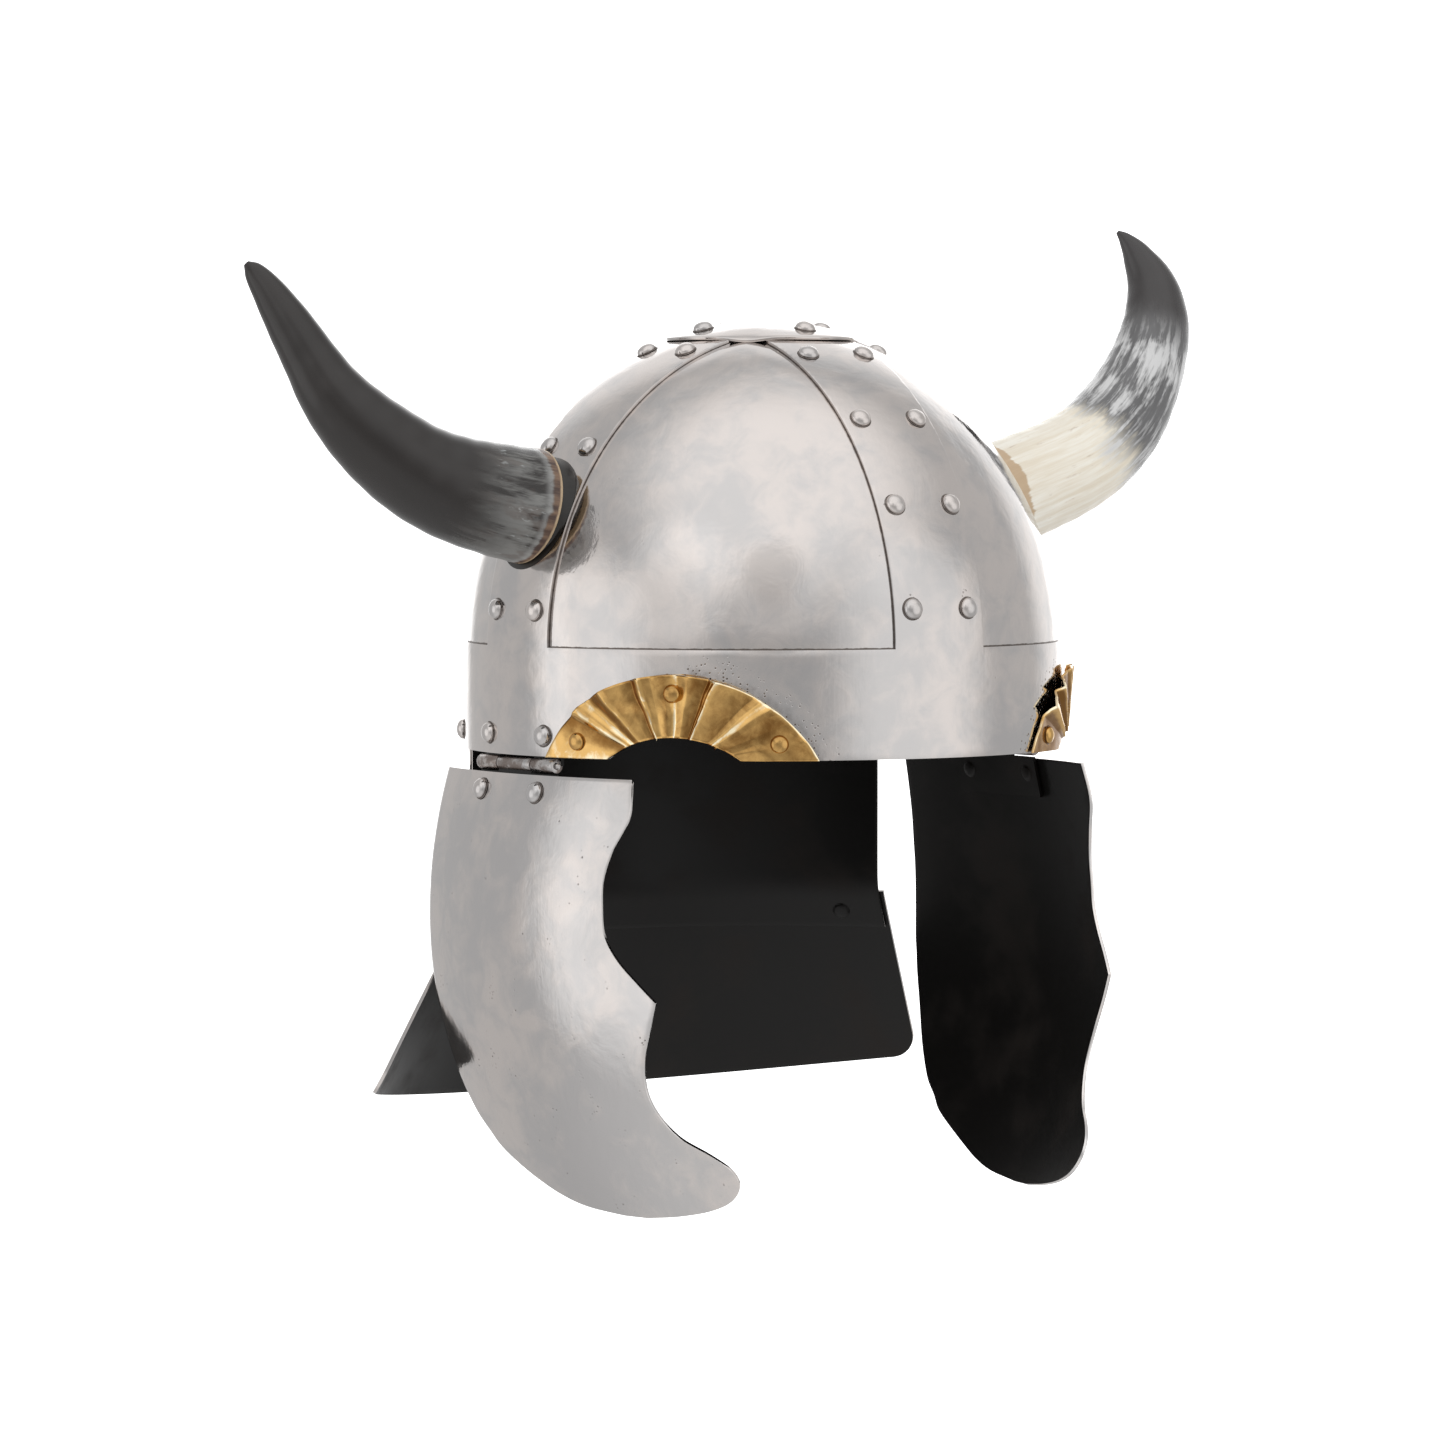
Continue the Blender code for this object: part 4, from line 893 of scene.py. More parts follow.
brow_outs = [BROW_OVERHANG + (1.0 - BROW_OVERHANG) * step / BROW_ROWS for step in range(BROW_ROWS + 1)]
brow_steps = [2.0 * column / BROW_COLUMNS - 1.0 for column in range(BROW_COLUMNS + 1)]
for name, side in SIDES:
    rows = []
    tarnish_and_highlights = []
    folds = REAR_FOLDS + FRONT_FOLDS[name]
    rivets = [brow_point(side, share, out_share, 0.0) for share, out_share in BROW_RIVETS]
    for share in sorted(set([fold[0] for fold in folds] + brow_steps)):
        places = [brow_surface(folds, side, share, out_share, rivets) for out_share in brow_outs]
        rows.append([place for place, _ in places])
        tarnish_and_highlights.extend([brown for _, brown in places])
    builder = grid_sheet(rows)
    face_outwards(builder, dome_normal)
    plate = finish_piece(
        "brow plate " + name, builder, [brass, brass], "helmet", "aged_brass", ["brow_plate_" + name], 60.0)
    store_grime_shade_and_highlight(plate, tarnish_and_highlights)
    add_thickness(plate, BRASS_SHEET, 0.2 * MM)
    heads = bmesh.new()
    seats = []
    for index, (share, out_share) in enumerate(BROW_RIVETS):
        seat = brow_point(side, share, out_share, SEAT_GAP + BRASS_SHEET * 1.1)
        normal = Vector((seat.x, seat.y, 0.0)).normalized()
        seats.append((add_rivet(heads, seat, normal, 60 + index, BROW_RIVET_RADIUS, BROW_RIVET_HEIGHT, 3), normal))
    head_piece = finish_piece(
        "brow rivets " + name, heads, [brass], "helmet", "aged_brass", ["brow_plate_" + name], 50.0)
    paint_grime_and_shade(head_piece, rivet_grime_and_shade(seats, BROW_RIVET_GRIME))
    print("Brow plate", name, "has", len(folds), "creases")

# %% [markdown]
# ## Horns
# A horn is a ring drawn along a curved line. Its wall is cut off square at the base, where a black plug
# carries it off the dome.

# %% Horns
HORN_SIDES = 56
HORN_RINGS = 110
HORN_WALL = 2.6 * MM
HORN_BORE = 7.0 * MM
HORN_CUT_TILT = 12.0
HORN_BASE_RISE = 49.0 * MM
HORN_STAND_OFF = 3.6 * MM
HORN_BASE_RADIUS = 20.5 * MM
HORN_SWEEP = 36.9 * MM
HORN_REACH = {"right": 92.7 * MM, "left": 99.2 * MM}
HORN_RISE = {"right": 84.5 * MM, "left": 101.8 * MM}
PLUG_RADIUS = 18.6 * MM
# Shares of a horn's reach, sweep, rise and base radius, from the cut end to the tip
HORN_SECTIONS = {
    "right": (
        (0.000, 0.000, 0.000, 1.000), (0.148, 0.024, 0.030, 0.965), (0.309, 0.076, 0.075, 0.905),
        (0.451, 0.146, 0.143, 0.840), (0.575, 0.230, 0.238, 0.770), (0.682, 0.331, 0.348, 0.680),
        (0.768, 0.442, 0.471, 0.575), (0.831, 0.564, 0.611, 0.475), (0.888, 0.699, 0.754, 0.395),
        (0.946, 0.846, 0.893, 0.280), (0.982, 0.950, 0.970, 0.175), (1.000, 1.000, 1.000, 0.060),
    ),
    "left": (
        (0.000, 0.000, 0.000, 0.985), (0.216, 0.024, 0.067, 0.945), (0.387, 0.076, 0.121, 0.930),
        (0.550, 0.146, 0.194, 0.900), (0.694, 0.230, 0.292, 0.860), (0.812, 0.331, 0.407, 0.780),
        (0.910, 0.442, 0.531, 0.700), (0.980, 0.564, 0.664, 0.610), (1.000, 0.699, 0.796, 0.475),
        (0.970, 0.846, 0.914, 0.275), (0.940, 0.940, 0.975, 0.130), (0.922, 1.000, 1.000, 0.040),
    ),
}


def horn_base(side):
    """The centre of a horn's cut end."""
    radius = BAND_RADIUS * math.sqrt(1.0 - (HORN_BASE_RISE / DOME_RISE) ** 2)
    return Vector((side * (radius + HORN_STAND_OFF), 0.0, BAND_HEIGHT + HORN_BASE_RISE))


def horn_axis(side):
    """The direction in which a horn leaves its cut end."""
    tilt = math.radians(HORN_CUT_TILT)
    return Vector((side * math.cos(tilt), 0.0, math.sin(tilt)))


def horn_line(name, side):
    """(centre, radius, length so far) at each ring of a horn."""
    table = HORN_SECTIONS[name]
    base = horn_base(side)
    places = []
    for out, back, up, thick in table:
        step = Vector((side * HORN_REACH[name] * out, HORN_SWEEP * back, HORN_RISE[name] * up))
        places.append((base + step, HORN_BASE_RADIUS * thick))
    knots = [0.0]
    for (first, _), (second, _) in zip(places, places[1:]):
        knots.append(knots[-1] + (second - first).length)
    line = []
    for ring in range(HORN_RINGS + 1):
        length = knots[-1] * (1.0 - (1.0 - ring / HORN_RINGS) ** 1.15)
        centre = Vector([curve_value(knots, [place[axis] for place, _ in places], length) for axis in range(3)])
        line.append((centre, curve_value(knots, [radius for _, radius in places], length), length))
    return line, knots[-1]


def make_horn(name, side, material):
    """Build one horn with its unbent places stored for the fibres."""
    line, total = horn_line(name, side)
    builder = bmesh.new()
    grain = builder.verts.layers.float_vector.new("grain")
    reach = builder.verts.layers.float.new("reach")
    rings = []
    frames = []
    for index, (centre, radius, length) in enumerate(line):
        if index == 0:
            tangent = horn_axis(side)
        else:
            after = line[min(index + 1, HORN_RINGS)][0]
            tangent = (after - line[index - 1][0]).normalized()
        if length < 0.012:
            tangent = horn_axis(side).lerp(tangent, length / 0.012).normalized()
        across = tangent.cross(Vector((0.0, 1.0, 0.0))).normalized()
        along = across.cross(tangent)
        frames.append((across, along, tangent))
        ring = []
        for step in range(HORN_SIDES):
            angle = math.tau * step / HORN_SIDES
            flat = Vector((math.cos(angle) * radius, math.sin(angle) * radius, length))
            lump = 1.0 + 0.010 * sway(flat, 45.0, 3.0 + side) + 0.004 * math.sin(length * 620.0 + 2.0 * math.sin(angle))
            vertex = builder.verts.new(centre + (across * math.cos(angle) + along * math.sin(angle)) * radius * lump)
            vertex[grain] = flat
            vertex[reach] = length / total
            ring.append(vertex)
        rings.append(ring)
    across, along, tangent = frames[0]
    centre, radius, _ = line[0]
    for inset, depth in ((0.35 * MM, -0.25 * MM), (HORN_WALL, -0.25 * MM), (HORN_WALL + 0.4 * MM, HORN_BORE)):
        ring = []
        for step in range(HORN_SIDES):
            angle = math.tau * step / HORN_SIDES
            spoke = across * math.cos(angle) + along * math.sin(angle)
            vertex = builder.verts.new(centre + spoke * (radius - inset) + tangent * depth)
            vertex[grain] = Vector((math.cos(angle) * radius, math.sin(angle) * radius, 0.0))
            ring.append(vertex)
        rings.insert(0, ring)
    for first, second in zip(rings, rings[1:]):
        for step in range(HORN_SIDES):
            after = (step + 1) % HORN_SIDES
            builder.faces.new((first[step], first[after], second[after], second[step]))
    builder.faces.new(rings[0])
    builder.faces.new(rings[-1])
    bmesh.ops.recalc_face_normals(builder, faces=builder.faces)
    builder.faces.ensure_lookup_table()
    inside = set(rings[0])
    for face in builder.faces:
        if inside.intersection(face.verts):
            face.material_index = 1
    return finish_piece(
        "horn " + name, builder, [material, raw_horn], "helmet",
        "dark_horn" if name == "right" else "pale_horn", ["horn_" + name], 40.0), total


def make_plug(name, side):
    """The black plug: a short round block with its foot on the strap and its head in the horn's bore."""
    axis = horn_axis(side)
    base = horn_base(side)
    across = axis.cross(Vector((0.0, 1.0, 0.0))).normalized()
    along = across.cross(axis)
    builder = bmesh.new()
    stations = ((3.0, 0.80), (0.6, 0.93), (-0.4, 0.965), (-3.0, 1.0), (-7.0, 1.02), (-11.0, 1.03), (-16.0, 1.03))
    rings = []
    for offset, share in stations:
        ring = []
        for step in range(HORN_SIDES):
            angle = math.tau * step / HORN_SIDES
            spoke = across * math.cos(angle) + along * math.sin(angle)
            place = base + axis * offset * MM + spoke * PLUG_RADIUS * share
            flat = Vector((place.x, place.y, 0.0)).length
            height = max(-1.0, min(1.0, (place.z - BAND_HEIGHT) / (DOME_RISE + 0.1 * MM)))
            wall = (BAND_RADIUS + 0.1 * MM) * math.sqrt(1.0 - height ** 2)
            if flat < wall:
                place.x = side * math.sqrt(max(0.0, wall ** 2 - place.y ** 2))
            ring.append(builder.verts.new(place))
        rings.append(ring)
    for first, second in zip(rings, rings[1:]):
        for step in range(HORN_SIDES):
            after = (step + 1) % HORN_SIDES
            builder.faces.new((first[step], first[after], second[after], second[step]))
    builder.faces.new(rings[0])
    bmesh.ops.recalc_face_normals(builder, faces=builder.faces)
    return finish_piece("horn plug " + name, builder, [plug_stain], "helmet", "stained_plug", ["horn_plug_" + name])


for name, side, material in (("right", -1.0, dark_horn), ("left", 1.0, pale_horn)):
    horn, length = make_horn(name, side, material)
    make_plug(name, side)
    print("Horn", name, "is %.0f mm long" % (length / MM))

# %% [markdown]
# ## Cheek plates
# A cheek plate is a shallow dish with a cut outline: a point over the cheekbone and a hook at the chin. The
# table gives shares of its drop, of its front reach and of its rear reach, from the top edge down.

# %% Cheek plates
CHEEK_TOP = -6.5 * MM
CHEEK_DROP = 153.7 * MM
CHEEK_FRONT = 91.0 * MM
CHEEK_REAR = 52.8 * MM
CHEEK_BULGE = 8.9 * MM
CHEEK_BULGE_Z = -60.2 * MM
CHEEK_DISH_RADIUS = 188.5 * MM
CHEEK_ROW_COUNT = 150
CHEEK_COLUMN_COUNT = 60
CHEEK_POINT_ROW = 8
CHEEK_ROWS = (
    (0.000, 0.671, 0.961), (0.085, 0.690, 0.980), (0.159, 0.636, 0.991), (0.224, 0.606, 1.000),
    (0.283, 0.608, 1.000), (0.346, 0.623, 1.000), (0.401, 0.680, 0.996), (0.456, 0.772, 0.987),
    (0.494, 0.838, 0.970), (0.548, 0.803, 0.941), (0.621, 0.756, 0.880), (0.696, 0.735, 0.806),
    (0.751, 0.759, 0.732), (0.802, 0.826, 0.639), (0.837, 0.925, 0.537), (0.869, 0.990, 0.449),
    (0.904, 1.000, 0.281), (0.943, 0.945, 0.051), (0.971, 0.832, -0.155), (0.990, 0.676, -0.389),
    (1.000, 0.530, -0.710),
)


def cheek_point(side, y, z, depth=0.0):
    """A point a depth inside the cheek plate's outer face."""
    dish = y ** 2 + (z - CHEEK_BULGE_Z) ** 2
    return Vector((side * (BAND_RADIUS + CHEEK_BULGE - dish / (2.0 * CHEEK_DISH_RADIUS) - depth), y, z))


def cheek_normal(side, y, z):
    """Outward normal of the cheek plate at a place on it."""
    return Vector((side, y / CHEEK_DISH_RADIUS, (z - CHEEK_BULGE_Z) / CHEEK_DISH_RADIUS)).normalized()


cheek_drops = [row[0] for row in CHEEK_ROWS]
cheek_fronts = [row[1] for row in CHEEK_ROWS]
cheek_rears = [row[2] for row in CHEEK_ROWS]
for name, side in SIDES:
    rows = []
    for step in range(CHEEK_ROW_COUNT + 1):
        share = step / CHEEK_ROW_COUNT
        drop = 1.0 - (1.0 - share) ** 1.25
        front = -CHEEK_FRONT * curve_value(cheek_drops, cheek_fronts, drop, (CHEEK_POINT_ROW,))
        rear = CHEEK_REAR * curve_value(cheek_drops, cheek_rears, drop)
        z = CHEEK_TOP - CHEEK_DROP * drop
        row = []
        for column in range(CHEEK_COLUMN_COUNT + 1):
            y = front + (rear - front) * column / CHEEK_COLUMN_COUNT
            dent = 0.25 * MM * (0.5 + 0.5 * sway(Vector((side * 0.1, y, z)), 24.0, 31.0 + side))
            row.append(cheek_point(side, y, z, dent))
        rows.append(row)
    builder = grid_sheet(rows)
    face_outwards(builder, lambda place: cheek_normal(side, place.y, place.z))
    plate = finish_piece(
        "cheek plate " + name, builder, [cheek_steel, black_paint, highlight_edge_steel], "cheek_" + name, "polished_steel",
        ["cheek_plate_" + name], 30.0)
    # The rim faces take the third material, which paints a highlight along the cut edges
    add_thickness(plate, SHEET, 0.35 * MM, 2)
    print("Cheek plate", name, "has", len(plate.data.polygons), "faces")

# %% [markdown]
# ## Hinges
# A leaf inside the band and a leaf inside the cheek plate roll round one pin. Their rivets show outside.

# %% Hinges
HINGE_X = BAND_RADIUS - 2.5 * MM
HINGE_Z = -3.2 * MM
BARREL_RADIUS = 2.6 * MM
PIN_RADIUS = 1.1 * MM
KNUCKLE_GAP = 0.4 * MM
REAR_KNUCKLE = 12.5 * MM
MIDDLE_KNUCKLE = 21.0 * MM
FRONT_KNUCKLE = 13.5 * MM
PIN_OVERHANG = 1.5 * MM
LEAF_HEIGHT = 18.0 * MM
LEAF_SEAT_GAP = 0.6 * MM
HINGE_RIVET_SPREAD = 17.2 * MM
UPPER_RIVET_RISE = 10.4 * MM
LOWER_RIVET_DROP = 9.3 * MM
BARREL_SIDES = 36
BUTTON_RADIUS = 2.9 * MM
BUTTON_HEIGHT = 0.9 * MM
hinge_length = FRONT_KNUCKLE + MIDDLE_KNUCKLE + REAR_KNUCKLE + 2.0 * KNUCKLE_GAP
front_span = (-hinge_length / 2.0, -hinge_length / 2.0 + FRONT_KNUCKLE)
middle_span = (front_span[1] + KNUCKLE_GAP, front_span[1] + KNUCKLE_GAP + MIDDLE_KNUCKLE)
rear_span = (middle_span[1] + KNUCKLE_GAP, hinge_length / 2.0)


def add_turned(builder, points, side, material=0):
    """Turn (radius, y) points about a hinge's axis."""
    old_faces = set(builder.faces)
    row = [builder.verts.new(Vector((side * HINGE_X + radius, y, HINGE_Z))) for radius, y in points]
    edges = [builder.edges.new(pair) for pair in zip(row, row[1:])]
    before = set(builder.verts) - set(row)
    bmesh.ops.spin(
        builder, geom=row + edges, cent=(side * HINGE_X, 0.0, HINGE_Z), axis=(0.0, 1.0, 0.0),
        angle=math.tau, steps=BARREL_SIDES, use_merge=True,
    )
    fresh = [vertex for vertex in builder.verts if vertex not in before]
    bmesh.ops.remove_doubles(builder, verts=fresh, dist=0.000005)
    for face in builder.faces:
        if face not in old_faces:
            face.material_index = material


def knuckle_points(span):
    """Profile of a rolled knuckle with softened ends."""
    soft = 0.45 * MM
    inner = PIN_RADIUS + 0.1 * MM
    return (
        (inner, span[0]), (BARREL_RADIUS - soft, span[0]), (BARREL_RADIUS - soft * 0.3, span[0] + soft * 0.3),
        (BARREL_RADIUS, span[0] + soft), (BARREL_RADIUS, span[1] - soft),
        (BARREL_RADIUS - soft * 0.3, span[1] - soft * 0.3), (BARREL_RADIUS - soft, span[1]), (inner, span[1]),
    )


def add_leaf(builder, points):
    """Add a thick plate through two rows of (outer, inner) points."""
    corners = [[(builder.verts.new(outer), builder.verts.new(inner)) for outer, inner in row] for row in points]
    for low, high in zip(corners, corners[1:]):
        for index in range(len(low) - 1):
            for layer in (0, 1):
                builder.faces.new((
                    low[index][layer], low[index + 1][layer], high[index + 1][layer], high[index][layer]))
    for row in (corners[0], corners[-1]):
        for first, second in zip(row, row[1:]):
            builder.faces.new((first[0], second[0], second[1], first[1]))
    for column in (0, -1):
        for low, high in zip(corners, corners[1:]):
            builder.faces.new((low[column][0], high[column][0], high[column][1], low[column][1]))


def leaf_columns(span):
    return [span[0] + (span[1] - span[0]) * column / 8.0 for column in range(9)]


for name, side in SIDES:
    outer_radius = BAND_RADIUS - SHEET - SEAT_GAP
    clear = BARREL_RADIUS + KNUCKLE_GAP
    builder = bmesh.new()
    for span, low in (
            ((front_span[0], rear_span[1]), HINGE_Z + clear), (front_span, HINGE_Z), (rear_span, HINGE_Z)):
        high = HINGE_Z + LEAF_HEIGHT if low > HINGE_Z else HINGE_Z + clear
        rows = []
        for z in (low, high):
            row = []
            for y in leaf_columns(span):
                outer = Vector((side * math.sqrt(outer_radius ** 2 - y ** 2), y, z))
                inner = Vector((side * math.sqrt((outer_radius - SHEET) ** 2 - y ** 2), y, z))
                row.append((outer, inner))
            rows.append(row)
        add_leaf(builder, rows)
    for span in (front_span, rear_span):
        add_turned(builder, knuckle_points(span), side, 2)
    bmesh.ops.recalc_face_normals(builder, faces=builder.faces)
    seats = []
    for index, along in enumerate((-1.0, 1.0)):
        bearing = side * (90.0 + math.degrees(along * HINGE_RIVET_SPREAD / BAND_RADIUS))
        seat, normal = band_seat(bearing, HINGE_Z + UPPER_RIVET_RISE)
        seats.append((add_rivet(builder, seat, normal, 80 + index, material=1), normal))
        inner = seat - normal * (2.0 * SHEET + SEAT_GAP)
        add_rivet(builder, inner, -normal, 88 + index, BUTTON_RADIUS, BUTTON_HEIGHT, 2)
    leaf = finish_piece(
        "upper hinge leaf " + name, builder, [black_paint, rivet_steel, hinge_steel], "helmet", "polished_steel",
        ["hinge_upper_leaf_" + name])
    paint_grime_and_shade(leaf, rivet_grime_and_shade(seats))
    builder = bmesh.new()
    depth = SHEET + LEAF_SEAT_GAP
    for span, high in (((front_span[0], rear_span[1]), HINGE_Z - clear), (middle_span, HINGE_Z)):
        low = HINGE_Z - LEAF_HEIGHT if high < HINGE_Z else HINGE_Z - clear
        rows = []
        for z in (low, high):
            row = []
            for y in leaf_columns(span):
                row.append((cheek_point(side, y, z, depth), cheek_point(side, y, z, depth + SHEET)))
            rows.append(row)
        add_leaf(builder, rows)
    add_turned(builder, knuckle_points(middle_span), side, 2)
    bmesh.ops.recalc_face_normals(builder, faces=builder.faces)
    seats = []
    for index, along in enumerate((-1.0, 1.0)):
        y = along * HINGE_RIVET_SPREAD
        z = HINGE_Z - LOWER_RIVET_DROP
        normal = cheek_normal(side, y, z)
        seats.append((add_rivet(builder, cheek_point(side, y, z), normal, 84 + index, material=1), normal))
        inner = cheek_point(side, y, z, depth + SHEET)
        add_rivet(builder, inner, -normal, 92 + index, BUTTON_RADIUS, BUTTON_HEIGHT, 2)
    leaf = finish_piece(
        "lower hinge leaf " + name, builder, [black_paint, rivet_steel, hinge_steel], "cheek_" + name, "polished_steel",
        ["hinge_lower_leaf_" + name])
    paint_grime_and_shade(leaf, rivet_grime_and_shade(seats))
    builder = bmesh.new()
    tip = 0.4 * MM
    ends = (front_span[0] - PIN_OVERHANG, rear_span[1] + PIN_OVERHANG)
    add_turned(builder, (
        (0.0, ends[0]), (PIN_RADIUS - tip, ends[0]), (PIN_RADIUS, ends[0] + tip),
        (PIN_RADIUS, ends[1] - tip), (PIN_RADIUS - tip, ends[1]), (0.0, ends[1]),
    ), side)
    bmesh.ops.recalc_face_normals(builder, faces=builder.faces)
    finish_piece(
        "hinge pin " + name, builder, [hinge_steel], "helmet", "polished_steel", ["hinge_pin_" + name])
print("Hinge length %.1f mm" % (hinge_length / MM))

# %% [markdown]
# ## Neck guard
# An upright plate inside the band bends out into a flange, which carries a flared plate. Both are black
# inside.

# %% Neck guard
NECK_SIDE_CLEARANCE = 0.8 * MM
NECK_LAP = 15.0 * MM
NECK_BEND_Z = -58.0 * MM
NECK_FLARE = 26.6
NECK_FLANGE = 17.0 * MM
NECK_PLATE_START = 2.0 * MM
NECK_SIDE_LENGTH = 74.2 * MM
NECK_BACK_LENGTH = 87.0 * MM
NECK_CORNER = 10.0 * MM
NECK_BEND_RADIUS = 5.0 * MM
NECK_STEPS = 150
flare = math.radians(NECK_FLARE)


def flange_point(run, offset):
    """(radius, height) a distance down the flare from the bend, offset outwards from the upper plate's face."""
    radius = BAND_RADIUS - SHEET - SEAT_GAP
    return (
        radius + run * math.sin(flare) + offset * math.cos(flare),
        NECK_BEND_Z - run * math.cos(flare) + offset * math.sin(flare),
    )


def neck_side_bearing(radius):
    """Bearing of a neck plate's side edge at a radius, behind the reach of the swinging cheek plates."""
    return 180.0 - math.degrees(math.acos((CHEEK_REAR + NECK_SIDE_CLEARANCE) / radius))


def neck_outward(place):
    """Rough outward direction of the neck guard."""
    return Vector((place.x, place.y, 0.0))


upper_radius = BAND_RADIUS - SHEET - SEAT_GAP
points = [(upper_radius, NECK_LAP + (NECK_BEND_Z + NECK_BEND_RADIUS - NECK_LAP) * row / 20.0) for row in range(21)]
for step in range(1, 8):
    share = step / 8.0
    start = Vector((upper_radius, NECK_BEND_Z + NECK_BEND_RADIUS))
    corner = Vector((upper_radius, NECK_BEND_Z))
    end = Vector(flange_point(NECK_BEND_RADIUS, 0.0))
    points.append(tuple(start.lerp(corner, share).lerp(corner.lerp(end, share), share)))
for step in range(7):
    points.append(flange_point(NECK_BEND_RADIUS + (NECK_FLANGE - NECK_BEND_RADIUS) * step / 6.0, 0.0))
start = neck_side_bearing(upper_radius - SHEET / 2.0)
builder = turned_sheet(points, start, 360.0 - 2.0 * start, NECK_STEPS)
face_outwards(builder, neck_outward)
for vertex in builder.verts:
    if vertex.co.z < 0.0:
        push = 0.3 * MM * (sway(vertex.co, 20.0, 41.0) - 0.3)
        vertex.co += neck_outward(vertex.co).normalized() * push
upper_neck = finish_piece(
    "upper neck plate", builder, [steel, black_paint], "helmet", "black_paint", ["neck_plate_upper"], 30.0)
add_thickness(upper_neck, SHEET)

neck_rivets = bmesh.new()
seats = []
for index, bearing in enumerate((125.0, 180.0, 235.0)):
    seat, normal = band_seat(bearing, 6.2 * MM)
    seats.append((add_rivet(neck_rivets, seat, normal, 90 + index), normal))
for index, bearing in enumerate((129.0, 180.0, 231.0)):
    radius, height = flange_point(10.0 * MM, SEAT_GAP + SHEET)
    ray = direction(bearing)
    normal = ray * math.cos(flare) + Vector((0.0, 0.0, math.sin(flare)))
    seat = ray * radius + Vector((0.0, 0.0, height))
    seats.append((add_rivet(neck_rivets, seat, normal, 94 + index), normal))
    inner = seat - normal * (2.0 * SHEET + SEAT_GAP)
    add_rivet(neck_rivets, inner, -normal, 98 + index, BUTTON_RADIUS, BUTTON_HEIGHT, 2, 1)
neck_heads = finish_piece(
    "neck guard rivets", neck_rivets, [rivet_steel, black_paint], "helmet", "polished_steel", ["neck_plate_upper"],
    50.0)
paint_grime_and_shade(neck_heads, rivet_grime_and_shade(seats))

lower_offset = SEAT_GAP + SHEET
top_radius, _ = flange_point(NECK_PLATE_START, lower_offset)
spread = 180.0 - neck_side_bearing(top_radius - SHEET / 2.0)
foot_radius, _ = flange_point(NECK_SIDE_LENGTH, lower_offset)
corner_turn = math.degrees(NECK_CORNER / foot_radius)
from_sides = [corner_turn * (1.0 - math.cos(math.pi / 2.0 * step / 14.0)) for step in range(14)]
from_sides += [corner_turn + (spread - corner_turn) * step / 60.0 for step in range(61)]
bearings = sorted(set([180.0 - spread + value for value in from_sides] + [180.0 + spread - value for value in from_sides]))
rows = []
for bearing in bearings:
    from_side = spread - abs(bearing - 180.0)
    bulge = math.sin(math.pi / 2.0 * from_side / spread)
    length = NECK_SIDE_LENGTH + (NECK_BACK_LENGTH - NECK_SIDE_LENGTH) * bulge
    inset = max(0.0, 1.0 - from_side / corner_turn)
    length -= NECK_CORNER * (1.0 - math.sqrt(max(0.0, 1.0 - inset ** 2)))
    row = []
    for step in range(37):
        run = NECK_PLATE_START + (length - NECK_PLATE_START) * step / 36.0
        radius, height = flange_point(run, lower_offset)
        place = direction(bearing) * radius + Vector((0.0, 0.0, height))
        push = 0.5 * MM * sway(place, 15.0, 47.0) * min(1.0, run / (30.0 * MM))
        row.append(place + neck_outward(place).normalized() * push)
    rows.append(row)
builder = grid_sheet(rows)
face_outwards(builder, neck_outward)
lower_neck = finish_piece(
    "lower neck plate", builder, [steel, black_paint], "helmet", "black_paint", ["neck_plate_lower"], 30.0)
add_thickness(lower_neck, SHEET)
print("Neck guard faces:", len(upper_neck.data.polygons), len(lower_neck.data.polygons))

# %% [markdown]
# ## Sheet thickness and grime
# The frame, the panels and the disc get their thickness. A little grime above the front half of each brow
# plate brings out the pits there, and some gathers round the rivets.

# %% Sheet thickness and grime
for item in [frame_piece, disc] + panel_pieces:
    add_thickness(item, SHEET, 0.25 * MM)
rivet_seats = [seat for _, seat, _ in strap_rivets]
PIT_REACH = 7.0 * MM
PIT_START = 6.0 * MM


def near_brow(place):
    """How close a place on the band is to the outer arc of a brow plate's front half, from 0 to 1."""
    depth, radius = circle_through(BROW_HALF_WIDTH, BROW_RISE)
    forward = math.radians(EYE_BEARING - abs(bearing_of(place))) * BAND_RADIUS
    distance = math.hypot(forward, place.z + depth) - radius
    return math.exp(-(distance / PIT_REACH) ** 2) * max(0.0, min(1.0, forward / PIT_START))


def frame_grime(place):
    """Grime on the band and straps."""
    closest = min((place - seat).length for seat in rivet_seats)
    ring = math.exp(-((closest - RIVET_RADIUS) / (1.6 * MM)) ** 2)
    return min(1.0, 0.25 * ring + 0.75 * near_brow(place))


paint_grime_and_shade(frame_piece, frame_grime)
print("Grime painted on the frame")

# %% [markdown]
# ## Studio
# A white studio: a wide light overhead that leans to the front, a lit backdrop behind the helmet, one
# softbox on each side, and a darker space behind the camera. The polished plates mirror all of it. The floor
# is far below and pale, so that no shadow falls beside the helmet.

# %% Studio
CAMERA_BEARING = -35.376
CAMERA_DISTANCE = 2.3028
CAMERA_HEIGHT = 0.11302
CAMERA_LENS = 159.98
CAMERA_YAW = -0.3867
CAMERA_PITCH = 2.579
CAMERA_ROLL = -0.076
FLOOR_DROP = 0.62
FLOOR_RADIUS = 2.0


def studio_direction(turn, elevation):
    """Direction of a light at a turn in degrees to the right of the camera, seen from the helmet."""
    level = direction(CAMERA_BEARING + turn) * math.cos(math.radians(elevation))
    return level + Vector((0.0, 0.0, math.sin(math.radians(elevation))))


world = bpy.data.worlds.new("studio")
bpy.context.scene.world = world
world.use_nodes = True
graph = Graph(world.node_tree)
toward = graph.wire("ShaderNodeTexCoord", {}, {}, "Generated")


